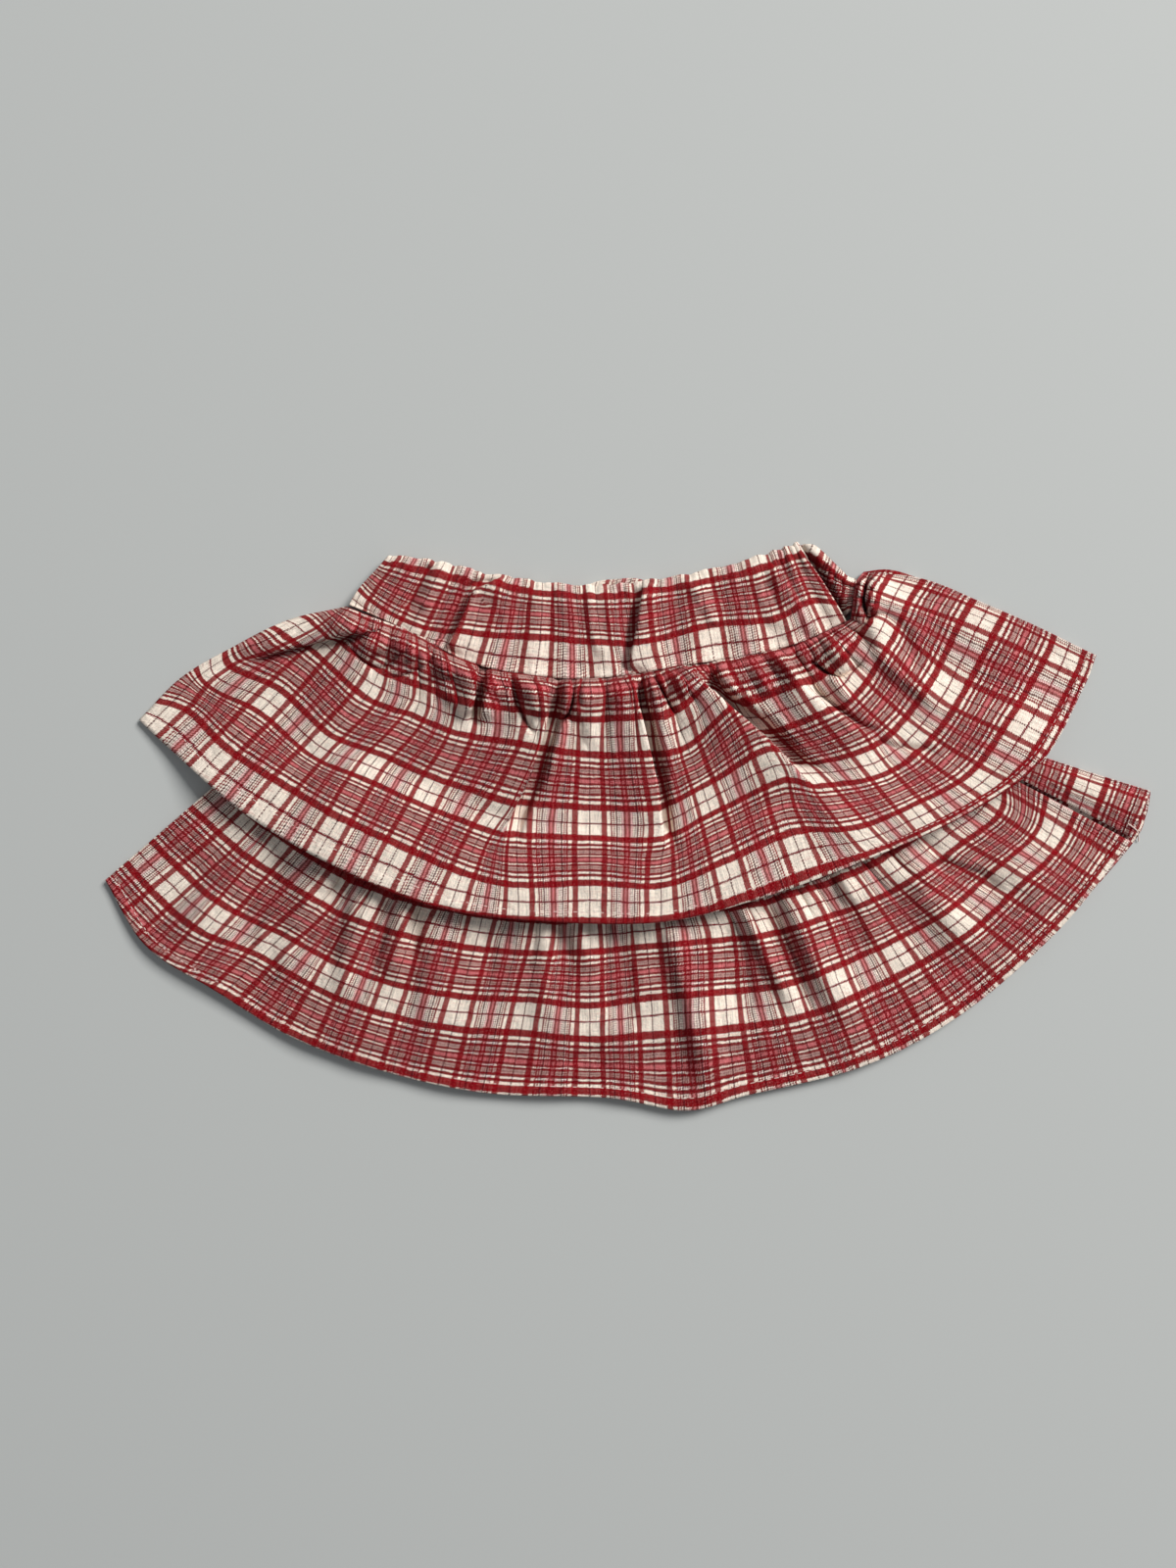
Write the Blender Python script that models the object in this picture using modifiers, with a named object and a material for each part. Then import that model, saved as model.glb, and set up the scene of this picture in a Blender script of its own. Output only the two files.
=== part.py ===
"""A child's skort: a skirt of two gathered tiers in checked brushed cotton over plain under-shorts.

It lies flat on the floor with its front up. +X runs across the skirt, +Y up to the waistband and +Z up from the
floor. Plan sizes and heights are in millimetres, and each panel is scaled to metres when it is made.

Every panel is a rectangle of cloth, as it is cut: `across` runs over its width and `down` from its seam to its hem,
both from 0 to 1. Its four edges in the plan place it, its folds and gathers lift it, and Solidify gives it its wall.
"""

from collections import namedtuple
from math import pi

import bpy
import numpy as np

# ---------------------------------------------------------------- driving sizes, in millimetres
MM = 0.001
CLOTH = 1.0  # wall of one layer of brushed cotton with its nap
BAND = 3.0  # wall of the waistband: two layers of cloth over an elastic
GAP = 0.3  # between two layers that lie on each other, and at a seam
SEAM_GAP = 0.9  # in the plan, where two panels are sewn edge to edge
PLY = CLOTH + GAP
TIER_DEPTH = 110.0  # from a tier's seam to its hem
HEM_INSET = 1.5  # how far a back panel's edge stays inside the front's
MIDDLE_Y = 30.0

RUFFLE_HEIGHT = 2.8  # of the lower tier's gathers near its seam
SEAM_HEIGHT, GATHER_HEIGHT, PUFF_HEIGHT = 1.2, 2.8, 2.2  # of the upper tier's gathers, at the seam and below it
UPPER_GATHERS, UPPER_PUFFS, LOWER_GATHERS, BAND_GATHERS = 28, 14, 18, 21  # waves side by side
BAND_PUCKER = 0.5

# how the layers step down where the ones below them end
HEM_REACH, HEM_STEP = 18.0, 9.0  # the lower tier's back leaves the upper hem behind it by this much, over this width
PLY_REACH, PLY_STEP = 9.0, 3.0  # each ply above it does so farther out and over a wider step
SHORTS_LEFT, SHORTS_RIGHT, SHORTS_RISE = -152.0, 128.0, 28.0  # the layers rise over the shorts at these sides
SHORTS_LOW, SHORTS_LOW_RISE = -112.0, 25.0  # and past their hem
RUFFLE_MARGIN, RUFFLE_RISE = 3.0, 40.0  # from the lower tier's sides to its gathers, and to their full height
SIDE_RISE = 16.0  # from the upper tier's sides to where it lies over everything
DRAPE_LEFT, DRAPE_RIGHT, DRAPE = 3.0, 5.0, 28.0  # it comes down past the lower tier's ends, over this width
AIR = 0.7  # under the upper tier's front, which its gathers hold up
UNDER_MARGIN, UNDER_RISE = 14.0, 12.0  # from the lower seam to where the upper tier rises over the lower gathers
STRIP_HEIGHT, STRIP_START, STRIP_RISE = 2.4, 3.0, 5.0  # of the band's back, where it turns over at the right end

Fold = namedtuple("Fold", "name x_top y_top x_end y_end bow height left right lean")


def smooth(share):
    """An S from 0 to 1."""
    share = np.clip(share, 0, 1)
    return share * share * (3 - 2 * share)


class Edge:
    """A smooth line in the plan through a few stations, followed by its length from 0 to 1."""

    def __init__(self, *stations, move=(0, 0)):
        points = np.array(stations, float) + np.array(move, float)
        knots = np.vstack((2 * points[0] - points[1], points, 2 * points[-1] - points[-2]))
        step = np.linspace(0, 1, 12, endpoint=False)[:, None]
        spans = []
        for a, b, c, d in zip(knots, knots[1:], knots[2:], knots[3:]):
            spans.append(b + step * (c - a) / 2 + step**2 * (a - 2.5 * b + 2 * c - d / 2)
                         + step**3 * (1.5 * (b - c) + (d - a) / 2))
        self.line = np.vstack((*spans, points[-1:]))
        run = np.hypot(*np.diff(self.line, axis=0).T)
        self.share = np.concatenate(([0], np.cumsum(run))) / run.sum()

    def at(self, share):
        return np.stack([np.interp(share, self.share, self.line[:, k]) for k in (0, 1)], axis=-1)

    def y_at(self, x):
        return np.interp(x, self.line[:, 0], self.line[:, 1])


def between(top, bottom, left, right, across, down):
    """The plan of a panel: its points run from its top edge to its bottom one, and near its sides they follow these."""
    a, d = across[:, None], down[:, None]
    left_bend = left.at(down) - (1 - d) * left.at(0) - d * left.at(1)
    right_bend = right.at(down) - (1 - d) * right.at(0) - d * right.at(1)
    return ((1 - d) * top.at(across) + d * bottom.at(across)
            + (1 - a) ** 3 * left_bend + a**3 * right_bend)


def inset(stations):
    """The stations of a back panel's edge, a little nearer the skirt's middle than the front's."""
    for x, y in stations:
        away = np.hypot(x, y - MIDDLE_Y)
        yield x - HEM_INSET * x / away, y - HEM_INSET * (y - MIDDLE_Y) / away


def beyond(x, y, start, end):
    """How far a point lies to the left of the line that runs from start to end."""
    run = np.hypot(end[0] - start[0], end[1] - start[1])
    return ((x - start[0]) * (start[1] - end[1]) + (y - start[1]) * (end[0] - start[0])) / run


def waves(across, count, offset=0.0):
    """Uneven waves side by side, 0 in their valleys and 1 on their crests."""
    drift = 0.30 * np.sin(2 * pi * (2.7 * across + offset)) + 0.17 * np.sin(2 * pi * (6.1 * across + 3 * offset))
    return 0.5 - 0.5 * np.cos(2 * pi * (count * across + drift))


def add_folds(plan, lift, folds, fade=0.35):
    """Raises each fold of the table. It starts at full height at its top and fades at its end. A fold that leans is
    pushed over sideways at its crest, to the right of its run for a positive lean."""
    x, y = plan.T
    push = np.zeros_like(plan)
    for fold in folds:
        run = np.array((fold.x_end - fold.x_top, fold.y_end - fold.y_top))
        length = np.hypot(*run)
        along = run / length
        side = np.array((-along[1], along[0]))  # to the right as the skirt is seen, where a fold runs down to its hem
        way = ((x - fold.x_top) * along[0] + (y - fold.y_top) * along[1]) / length
        off = (x - fold.x_top) * side[0] + (y - fold.y_top) * side[1] - fold.bow * 4 * way * (1 - way)
        crest = np.exp(-((off / np.where(off < 0, fold.left, fold.right)) ** 2))
        crest = crest * smooth((1 - way) / fade) * smooth(1 + (way + 0.1) / 0.15)
        lift = lift + fold.height * crest
        push = push + (fold.lean * crest)[:, None] * side
    return plan + push, lift


# ---------------------------------------------------------------- edges of the panels in the plan
WAIST_SEAM = ((-125, 100), (-97, 88), (-75, 76), (-53, 70), (-18, 67), (26, 73), (70, 81), (99, 93))
BAND_TOP = ((-108, 121), (-88, 118), (-62, 112), (-35, 108), (-9, 107), (22, 111), (53, 118), (78, 126.3))
BAND_STRIP_TOP = ((78, 126.3), (84.7, 125), (88.5, 121.6), (94.6, 115.5), (98.1, 112), (101.2, 110.5))
BAND_STRIP_EDGE = ((101.2, 110.5), (100.8, 104), (99.8, 99), (97.9, 94))
UPPER_LEFT_SIDE = ((-126, 99.3), (-150, 94), (-178, 80.5), (-205, 64), (-219, 48.4))
UPPER_KNOT = ((101, 95), (102, 101), (103.3, 110.5), (106.1, 115.4))  # the gathers bunched round the band's right end
UPPER_RIGHT_SIDE = ((106.1, 115.4), (118.3, 116.2), (136, 110.4), (180, 91.8), (210, 77))
UPPER_HEM = ((-219, 48.4), (-207, 37), (-172, 6.6), (-128, -19), (-84, -36), (-35, -42), (17, -42), (61, -31),
             (105, -15), (149, 4.4), (185, 29), (204, 62), (210, 77))
LOWER_SEAM = ((-152, 48), (-120, 22), (-80, 2), (-40, -9), (0, -12), (45, -8), (85, 8), (112, 28), (128, 46))
LOWER_LEFT_SIDE = ((-152, 48), (-187, 17.6), (-234.3, -23.3))
LOWER_HEM = ((-234.3, -23.3), (-216, -53), (-185, -73), (-150, -94), (-106, -110), (-62, -119), (-9, -121),
             (26, -126.7), (53, -120), (105, -107), (149, -84), (193, -46), (226, -5))
LOWER_CREASE = ((128, 46), (178, 20.5), (226, -5))  # where the front ends and the back's flap begins
FLAP_EDGE = ((129, 53), (187, 32), (234.3, 16.7))  # where the back turns over on to its flap
SHORTS_HEM = ((-112, -68), (-70, -76), (-34, -78), (-12, -44), (10, -78), (48, -76), (90, -66))

upper_seam = Edge(UPPER_LEFT_SIDE[0], *WAIST_SEAM[1:], *UPPER_KNOT, move=(0, -SEAM_GAP / 2))
upper_hem = Edge(*UPPER_HEM)
lower_seam = Edge(*LOWER_SEAM)


# ---------------------------------------------------------------- how high each layer lies
def back_level(x, y, plies=0):
    """The lower tier's back lies on the upper tier's back, and on the floor beyond its hem. Each ply above it comes
    down a little farther out."""
    return PLY * smooth((y - upper_hem.y_at(x) + HEM_REACH + PLY_REACH * plies) / (HEM_STEP + PLY_STEP * plies))


def over_shorts(x, y):
    """1 where the shorts lie below, fading to 0 around them."""
    across = smooth((x - SHORTS_LEFT) / SHORTS_RISE) * smooth((SHORTS_RIGHT - x) / SHORTS_RISE)
    return across * smooth((y - SHORTS_LOW) / SHORTS_LOW_RISE)


def front_level(x, y):
    """The yoke and the lower tier's front lie on the shorts, and on their own backs beside them."""
    return back_level(x, y, 3) + PLY + 2 * PLY * over_shorts(x, y)


def ruffle_room(x, y):
    """1 inside the lower tier, where its gathers stand up, and 0 at its sides."""
    inside = np.minimum(-beyond(x, y, LOWER_LEFT_SIDE[2], LOWER_LEFT_SIDE[0]),
                        -beyond(x, y, LOWER_CREASE[0], LOWER_CREASE[2]))
    return smooth((inside - RUFFLE_MARGIN) / RUFFLE_RISE)


def upper_level(x, y, from_side):
    """The upper tier's front lies over all of these, and comes down to its own back at its sides."""
    past_left = np.minimum(beyond(x, y, LOWER_LEFT_SIDE[2], LOWER_LEFT_SIDE[0]),
                           beyond(x, y, LOWER_LEFT_SIDE[0], WAIST_SEAM[0]))
    past_right = np.minimum(beyond(x, y, FLAP_EDGE[0], FLAP_EDGE[2]),
                            beyond(x, y, WAIST_SEAM[-1], LOWER_CREASE[0]))
    over = smooth(1 - (past_left - DRAPE_LEFT) / DRAPE) * smooth(1 - (past_right - DRAPE_RIGHT) / DRAPE)
    gathers_below = RUFFLE_HEIGHT * ruffle_room(x, y) * smooth((lower_seam.y_at(x) + UNDER_MARGIN - y) / UNDER_RISE)
    return PLY + smooth(from_side / SIDE_RISE) * over * (front_level(x, y) + AIR + gathers_below)


# ---------------------------------------------------------------- one panel
def cloth_panel(name, grid, shape, wall, colour, roughness, crowding=1.0):
    """A flat grid of cloth, columns by rows, laid to its shape and given its wall on its upper side. Its rows crowd
    towards its seam for a crowding above 1."""
    bpy.ops.mesh.primitive_grid_add(x_subdivisions=grid[0], y_subdivisions=grid[1], size=2)
    panel = bpy.context.object
    panel.name = panel.data.name = name
    cut = np.empty(len(panel.data.vertices) * 3)
    panel.data.vertices.foreach_get("co", cut)
    cut = cut.reshape(-1, 3)
    plan, lift = shape((1 + cut[:, 0]) / 2, ((1 - cut[:, 1]) / 2) ** crowding)
    panel.data.vertices.foreach_set("co", (np.column_stack((plan, lift)) * MM).ravel())
    panel.data.shade_smooth()
    thick = panel.modifiers.new("wall", "SOLIDIFY")
    thick.thickness = wall * MM
    thick.offset = 1
    thick.use_even_offset = True
    panel.data.materials.append(brushed_cotton(name, colour, roughness))
    for collection in panel.users_collection:
        collection.objects.unlink(panel)
    skort.objects.link(panel)
    return panel


def brushed_cotton(name, colour, roughness):
    material = bpy.data.materials.new(name)
    material.use_nodes = True
    surface = material.node_tree.nodes["Principled BSDF"]
    surface.inputs["Base Color"].default_value = (*colour, 1)
    surface.inputs["Roughness"].default_value = roughness
    surface.inputs["Metallic"].default_value = 0
    return material


for thing in list(bpy.data.objects):
    bpy.data.objects.remove(thing)
skort = bpy.data.collections.new("skort")
bpy.context.scene.collection.children.link(skort)

CHECKED = (0.52, 0.20, 0.19)  # the checked cloth's colours, seen as one
CREAM = (0.76, 0.69, 0.60)
NAPPED = 0.9

# ---------------------------------------------------------------- waistband
BAND_FOLDS = (
    # name, top x and y, end x and y, bow, height, width left and right of the crest, lean
    Fold("left end", -102, 118, -116, 98, 0, 0.8, 5, 4, 0),
    Fold("left notch", -91, 112, -97, 101, 0, -0.8, 3, 3, 0),
    Fold("left swell", -72, 112, -90, 82, 0, 1.4, 8, 5, 0),
    Fold("left crease", -59.6, 109, -84, 75, 2, -1.2, 3, 3, 0),
    Fold("middle swell", -45, 108, -52, 74, 0, 1.0, 9, 7, 0),
    Fold("first pinch", -23, 106, -21, 70, 0, 1.4, 3.5, 3, 0),
    Fold("second pinch", -11, 106, -9, 69, 0, 1.3, 3, 3, 0),
    Fold("lapped pleat", 7.5, 110, 2, 68, 0, 1.8, 2.4, 9, -1.5),
    Fold("right swell", 24, 110, 34, 78, 0, 1.0, 6, 6, 0),
    Fold("right crease", 45, 116, 52, 84, 0, 1.2, 4, 5, 0),
    Fold("last swell", 64, 121, 82, 88, 0, 1.3, 5, 6, 0),
)
band_left = Edge((-108, 121), (-115, 109), (-125, 100 + SEAM_GAP / 2))
band_right = Edge((77.5, 126), (87.5, 110), (98, 92.6 + SEAM_GAP / 2))
band_top = Edge(*BAND_TOP[:-1], band_right.at(0))
band_bottom = Edge(*WAIST_SEAM[:-1], (98, 92.6), move=(0, SEAM_GAP / 2))


def band_front(across, down):
    plan = between(band_top, band_bottom, band_left, band_right, across, down)
    lift = np.full_like(across, BAND + GAP) + BAND_PUCKER * waves(across, BAND_GATHERS)
    folded, folded_lift = add_folds(plan, lift, BAND_FOLDS, fade=0.15)
    return folded, np.maximum(folded_lift, BAND + GAP)


def band_back(across, down):
    """The band's back shows beyond the front's right end, where the band turns over."""
    top = Edge((-107, 120.2), *BAND_TOP[1:-1], *BAND_STRIP_TOP)
    bottom = Edge(*WAIST_SEAM[:-1], BAND_STRIP_EDGE[-1], move=(0, SEAM_GAP / 2))
    left = Edge((-107, 120.2), (-114, 108.4), (-125, 100 + SEAM_GAP / 2))
    plan = between(top, bottom, left, Edge(*BAND_STRIP_EDGE, move=(0, SEAM_GAP / 2)), across, down)
    x, y = plan.T
    past_front = beyond(x, y, BAND_TOP[-1], (98.7, 93))
    return plan, STRIP_HEIGHT * smooth((past_front - STRIP_START) / STRIP_RISE)


cloth_panel("waistband_front", (66, 4), band_front, BAND, CHECKED, NAPPED)
cloth_panel("waistband_back", (36, 4), band_back, BAND, CHECKED, NAPPED)

# ---------------------------------------------------------------- upper tier
UPPER_FOLDS = (
    Fold("side roll", -128, 97, -196, 70, 3, 3.5, 6, 4, 0),
    Fold("side crease", -126, 88, -184, 77, 2, -2.5, 3, 3, 0),
    Fold("first lobe", -112, 88, -134, 66, 0, 3.5, 6, 5, 0),
    Fold("second lobe", -98, 82, -116, 58, 0, 4.0, 6, 5, 0),
    Fold("left valley", -88, 72, -126, 44, 0, -2.5, 5, 4, 0),
    Fold("pocket lobe", -78, 72, -92, 36, 0, 3.5, 9, 4, 1.0),
    Fold("pocket", -66, 70, -71, 38, 0, -3.0, 4, 4, 0),
    Fold("small pleat", -49, 68, -52, 40, 0, 3.0, 5, 5, 0),
    Fold("long left fold", -36, 70, -60, -12, 3, 4.5, 22, 2.6, 3.0),
    Fold("inset ridge", -20, 68, -22, 38, 0, 2.5, 5, 5, 0),
    Fold("long right fold", 2.5, 71, 19, -22, 3, 4.5, 2.6, 22, -3.0),
    Fold("diagonal swell", 34, 73, 92, 14, 4, 4.0, 12, 8, 0),
    Fold("diagonal valley", 45, 72, 104, 0, 4, -3.0, 5, 5, 0),
    Fold("second diagonal", 66, 78, 128, 22, 3, 3.5, 7, 10, 0),
    Fold("puffed lobe", 92, 86, 122, 58, 0, 4.5, 8, 8, 0),
    Fold("knot", 101, 100, 120, 92, 0, 4.0, 5, 6, 0),
    Fold("last fold", 108, 90, 158, 32, 5, 3.5, 7, 9, 0),
    Fold("outer swell", 116, 106, 192, 60, 3, 2.5, 9, 12, 0),
)
SEAM_LENGTH, HEM_LENGTH = 265.0, 505.0
HIGHEST_FOLD = 4.5


def upper_shape(across, down):
    plan = between(upper_seam, upper_hem, Edge(*UPPER_LEFT_SIDE), Edge(*UPPER_RIGHT_SIDE), across, down)
    reach = down * TIER_DEPTH
    from_side = (SEAM_LENGTH + (HEM_LENGTH - SEAM_LENGTH) * down) * np.minimum(across, 1 - across)
    room = smooth(from_side / SIDE_RISE)
    height = SEAM_HEIGHT + (GATHER_HEIGHT - SEAM_HEIGHT) * smooth((reach - 1) / 9)
    gathers = height * (1 - smooth((reach - 6) / 34)) * waves(across, UPPER_GATHERS)
    puffs = PUFF_HEIGHT * smooth(reach / 18) * (1 - smooth((reach - 20) / 50)) * waves(across, UPPER_PUFFS, 0.3)
    folded, folds = add_folds(plan, np.zeros_like(across), UPPER_FOLDS)
    held = room * (0.25 + 0.75 * smooth(reach / 10))
    folds = held * HIGHEST_FOLD * np.tanh(folds / HIGHEST_FOLD)
    lift = np.maximum(room * (gathers + puffs) + folds, 0)
    return plan + held[:, None] * (folded - plan), upper_level(*plan.T, from_side) + lift


def upper_back_shape(across, down):
    """It lies flat on the floor, a little inside the front's edge."""
    plan = between(upper_seam, Edge(*inset(UPPER_HEM)), Edge(*inset(UPPER_LEFT_SIDE)),
                   Edge(*inset(UPPER_RIGHT_SIDE)), across, down)
    return plan, np.zeros_like(across)


cloth_panel("upper_tier_front", (112, 9), upper_shape, CLOTH, CHECKED, NAPPED, crowding=1.5)
cloth_panel("upper_tier_back", (36, 5), upper_back_shape, CLOTH, CHECKED, NAPPED)

# ---------------------------------------------------------------- yoke and shorts, hidden by the tiers
YOKE_MARGIN = 0.06  # share of the seam left free at each side, so that the tiers close over the yoke


class Part:
    """A stretch of an edge, followed from 0 to 1."""

    def __init__(self, edge, start, end):
        self.edge, self.start, self.end = edge, start, end

    def at(self, share):
        return self.edge.at(self.start + (self.end - self.start) * np.asarray(share))


waist = Part(Edge(*WAIST_SEAM, move=(0, -SEAM_GAP / 2)), YOKE_MARGIN, 1 - YOKE_MARGIN)
yoke_hem = Part(Edge(*LOWER_SEAM, move=(0, SEAM_GAP / 2)), 0.02, 0.98)


def yoke_plan(across, down):
    return between(waist, yoke_hem, Edge(waist.at(0), yoke_hem.at(0)), Edge(waist.at(1), yoke_hem.at(1)),
                   across, down)


def yoke_back(across, down):
    return yoke_plan(across, down), np.full_like(across, PLY)


def yoke_front(across, down):
    plan = yoke_plan(across, down)
    return plan, front_level(*plan.T)


def shorts(plies):
    """A layer of the shorts, that many plies above the lower tier's back."""
    top = Part(waist.edge, YOKE_MARGIN + 0.03, 1 - YOKE_MARGIN - 0.03)
    hem = Edge(*SHORTS_HEM)

    def shape(across, down):
        plan = between(top, hem, Edge(top.at(0), (-116, 10), hem.at(0)), Edge(top.at(1), (93, 10), hem.at(1)),
                       across, down)
        return plan, back_level(*plan.T, plies) + plies * PLY
    return shape


cloth_panel("yoke_back", (16, 3), yoke_back, CLOTH, CHECKED, NAPPED)
cloth_panel("yoke_front", (20, 3), yoke_front, CLOTH, CHECKED, NAPPED)
cloth_panel("shorts_back", (16, 12), shorts(1), CLOTH, CREAM, NAPPED)
cloth_panel("shorts_front", (16, 12), shorts(2), CLOTH, CREAM, NAPPED)

# ---------------------------------------------------------------- lower tier
LOWER_FOLDS = (
    Fold("left wave", -140, 30, -176, -46, 0, 1.8, 9, 9, 0),
    Fold("second wave", -112, 14, -142, -62, 0, 1.8, 8, 8, 0),
    Fold("middle ridge", 14, -10, 26, -124, 0, 2.4, 10, 10, 0),
    Fold("right ridge", 50, -6, 74, -84, 3, 2.4, 9, 8, 0),
    Fold("right wave", 84, 8, 132, -66, 0, 1.8, 10, 9, 0),
    Fold("outer wave", 108, 26, 172, -30, 0, 1.6, 10, 10, 0),
)
FLAP_COLUMNS, BACK_COLUMNS = 8, 32
TURN = 1.4  # outer radius of the back's fold-over


def lower_front_shape(across, down):
    plan = between(Edge(*LOWER_SEAM, move=(0, -SEAM_GAP / 2)), Edge(*LOWER_HEM), Edge(*LOWER_LEFT_SIDE),
                   Edge(*LOWER_CREASE, move=(-0.5, -0.9)), across, down)
    room = ruffle_room(*plan.T)
    reach = down * TIER_DEPTH
    height = RUFFLE_HEIGHT * (0.6 + 0.4 * smooth(reach / 15)) * (1 - 0.85 * smooth((reach - 30) / 75))
    lift = room * height * waves(across, LOWER_GATHERS, 0.15)
    folded, folded_lift = add_folds(plan, np.zeros_like(across), LOWER_FOLDS, fade=0.3)
    shown = smooth((upper_hem.y_at(plan[:, 0]) + 6 - plan[:, 1]) / 24)
    return folded, front_level(*plan.T) + lift + room * shown * folded_lift


def lower_back_shape(across, down):
    """Flat on the floor, up to the edge where it turns over and lies back on itself as a flap."""
    edge = Edge(*FLAP_EDGE, move=(0, -TURN))
    seam = Edge(*LOWER_SEAM, edge.at(0), move=(0, -SEAM_GAP / 2))
    hem = Edge(*inset(LOWER_HEM[:-1]), (225.5, -8), (232.5, 6), edge.at(1))
    left = Edge(*inset(LOWER_LEFT_SIDE))
    crease = Edge(*LOWER_CREASE, move=(0.4, 0.6))
    whole = across * (BACK_COLUMNS + FLAP_COLUMNS)
    flat = np.minimum(whole / BACK_COLUMNS, 1)
    turned = np.maximum(whole - BACK_COLUMNS, 0) / FLAP_COLUMNS
    plan = between(seam, hem, left, edge, flat, down)
    angle = pi * np.minimum(turned * 2, 1)
    on_flap = np.maximum(turned * 2 - 1, 0)
    outward = np.array((0.29, 0.957))
    plan = plan + TURN * np.sin(angle)[:, None] * outward + on_flap[:, None] * (crease.at(down) - edge.at(down))
    puff = 2.0 * np.sin(pi * on_flap) * smooth((plan[:, 0] - 186) / 20)
    return plan, back_level(*plan.T) + TURN * (1 - np.cos(angle)) + puff


cloth_panel("lower_tier_front", (76, 9), lower_front_shape, CLOTH, CHECKED, NAPPED)
cloth_panel("lower_tier_back", (BACK_COLUMNS + FLAP_COLUMNS, 9), lower_back_shape, CLOTH, CHECKED, NAPPED)
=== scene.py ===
"""How a child's skort looks: two gathered tiers in red and cream checked brushed cotton, laid flat.

Each panel is a rectangle of cloth, laid by its flat sizes: u runs across it along the weft and v down it
from its seam to its hem, both in millimetres. Its warp threads are placed in the plan by short tables, and
its folds, gathers and creases lift it.
"""

from collections import namedtuple
from math import pi

import bpy
import numpy as np
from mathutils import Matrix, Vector


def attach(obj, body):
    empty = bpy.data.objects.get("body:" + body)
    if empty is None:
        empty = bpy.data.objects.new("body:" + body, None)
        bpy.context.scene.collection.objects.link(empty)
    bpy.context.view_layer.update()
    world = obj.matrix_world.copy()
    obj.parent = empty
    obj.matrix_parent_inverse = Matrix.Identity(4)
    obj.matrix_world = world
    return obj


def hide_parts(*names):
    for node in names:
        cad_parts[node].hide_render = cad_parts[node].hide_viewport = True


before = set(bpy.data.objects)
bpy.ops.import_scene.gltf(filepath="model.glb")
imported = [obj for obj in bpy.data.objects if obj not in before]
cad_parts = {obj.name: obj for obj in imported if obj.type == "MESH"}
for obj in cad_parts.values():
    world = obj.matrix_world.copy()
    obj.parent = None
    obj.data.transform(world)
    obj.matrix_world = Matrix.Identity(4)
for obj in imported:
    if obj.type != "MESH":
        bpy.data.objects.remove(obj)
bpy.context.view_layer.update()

# -------------------------------------------------------- camera, light, floor
# The camera looks straight down, as the photograph was taken, with +Y up in the picture. One large soft light
# comes from the upper right, and weak light from all round fills the shadows. The floor is plain and pale.
CAMERA_HEIGHT, VIEW_LENGTH = 0.60, 0.704
camera = bpy.data.objects.new("camera", bpy.data.cameras.new("camera"))
bpy.context.scene.collection.objects.link(camera)
camera.location = (-0.0178, 0.0198, CAMERA_HEIGHT)
camera.data.sensor_width = 36
camera.data.lens = 36 * CAMERA_HEIGHT / VIEW_LENGTH
bpy.context.scene.camera = camera


def soft_light(name, place, size, power, colour):
    light = bpy.data.objects.new(name, bpy.data.lights.new(name, "AREA"))
    light.data.size, light.data.energy, light.data.color = size, power, colour
    light.location = place
    light.rotation_euler = (-Vector(place)).to_track_quat("-Z", "Y").to_euler()
    bpy.context.scene.collection.objects.link(light)


def matt(name, colour, roughness):
    """A plain material, for what isn't woven."""
    material = bpy.data.materials.new(name)
    material.use_nodes = True
    surface = material.node_tree.nodes["Principled BSDF"].inputs
    surface["Base Color"].default_value, surface["Roughness"].default_value = (*colour, 1), roughness
    return material


soft_light("window_light", (2.5, 2.3, 2.8), 1.8, 222, (1.0, 0.985, 0.965))
world = bpy.data.worlds.new("room")
world.use_nodes = True
all_round = world.node_tree.nodes["Background"].inputs
all_round["Color"].default_value, all_round["Strength"].default_value = (0.92, 0.96, 1.0, 1), 0.24
bpy.context.scene.world = world
bpy.context.scene.view_settings.view_transform = "Standard"

bpy.ops.mesh.primitive_plane_add(size=6, location=(0, 0, -0.0002))
floor = bpy.context.object
floor.name = "floor"
floor.data.materials.append(matt("pale_floor", (0.52, 0.535, 0.525), 0.9))

# ------------------------------------------------------------ waistband, front
# A straight band of checked cotton, doubled over a wide elastic. It turns over along its top edge, is sewn to
# the upper tier along its lower one, and lies in soft upright folds, one of them lapped.
WALL = 0.8  # one layer of the cloth with its nap
CHECK_ACROSS, CHECK_DOWN = 33.5, 38.7  # the check's repeat along the weft and along the warp


def smooth(share):
    """An S from 0 to 1."""
    share = np.clip(share, 0, 1)
    return share * share * (3 - 2 * share)


def through(stations, points, places):
    """A smooth curve through points at their stations, read at places."""
    stations, points = np.asarray(stations, float), np.asarray(points, float)
    slopes = np.gradient(points, stations, axis=0)
    k = np.clip(np.searchsorted(stations, places, side="right") - 1, 0, len(stations) - 2)
    step = stations[k + 1] - stations[k]
    t = (places - stations[k]) / step
    extra = (slice(None),) + (None,) * (points.ndim - 1)
    t, step = t[extra], step[extra]
    return (points[k] * (1 + 2 * t) * (1 - t) ** 2 + slopes[k] * step * t * (1 - t) ** 2
            + points[k + 1] * t * t * (3 - 2 * t) + slopes[k + 1] * step * t * t * (t - 1))


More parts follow.
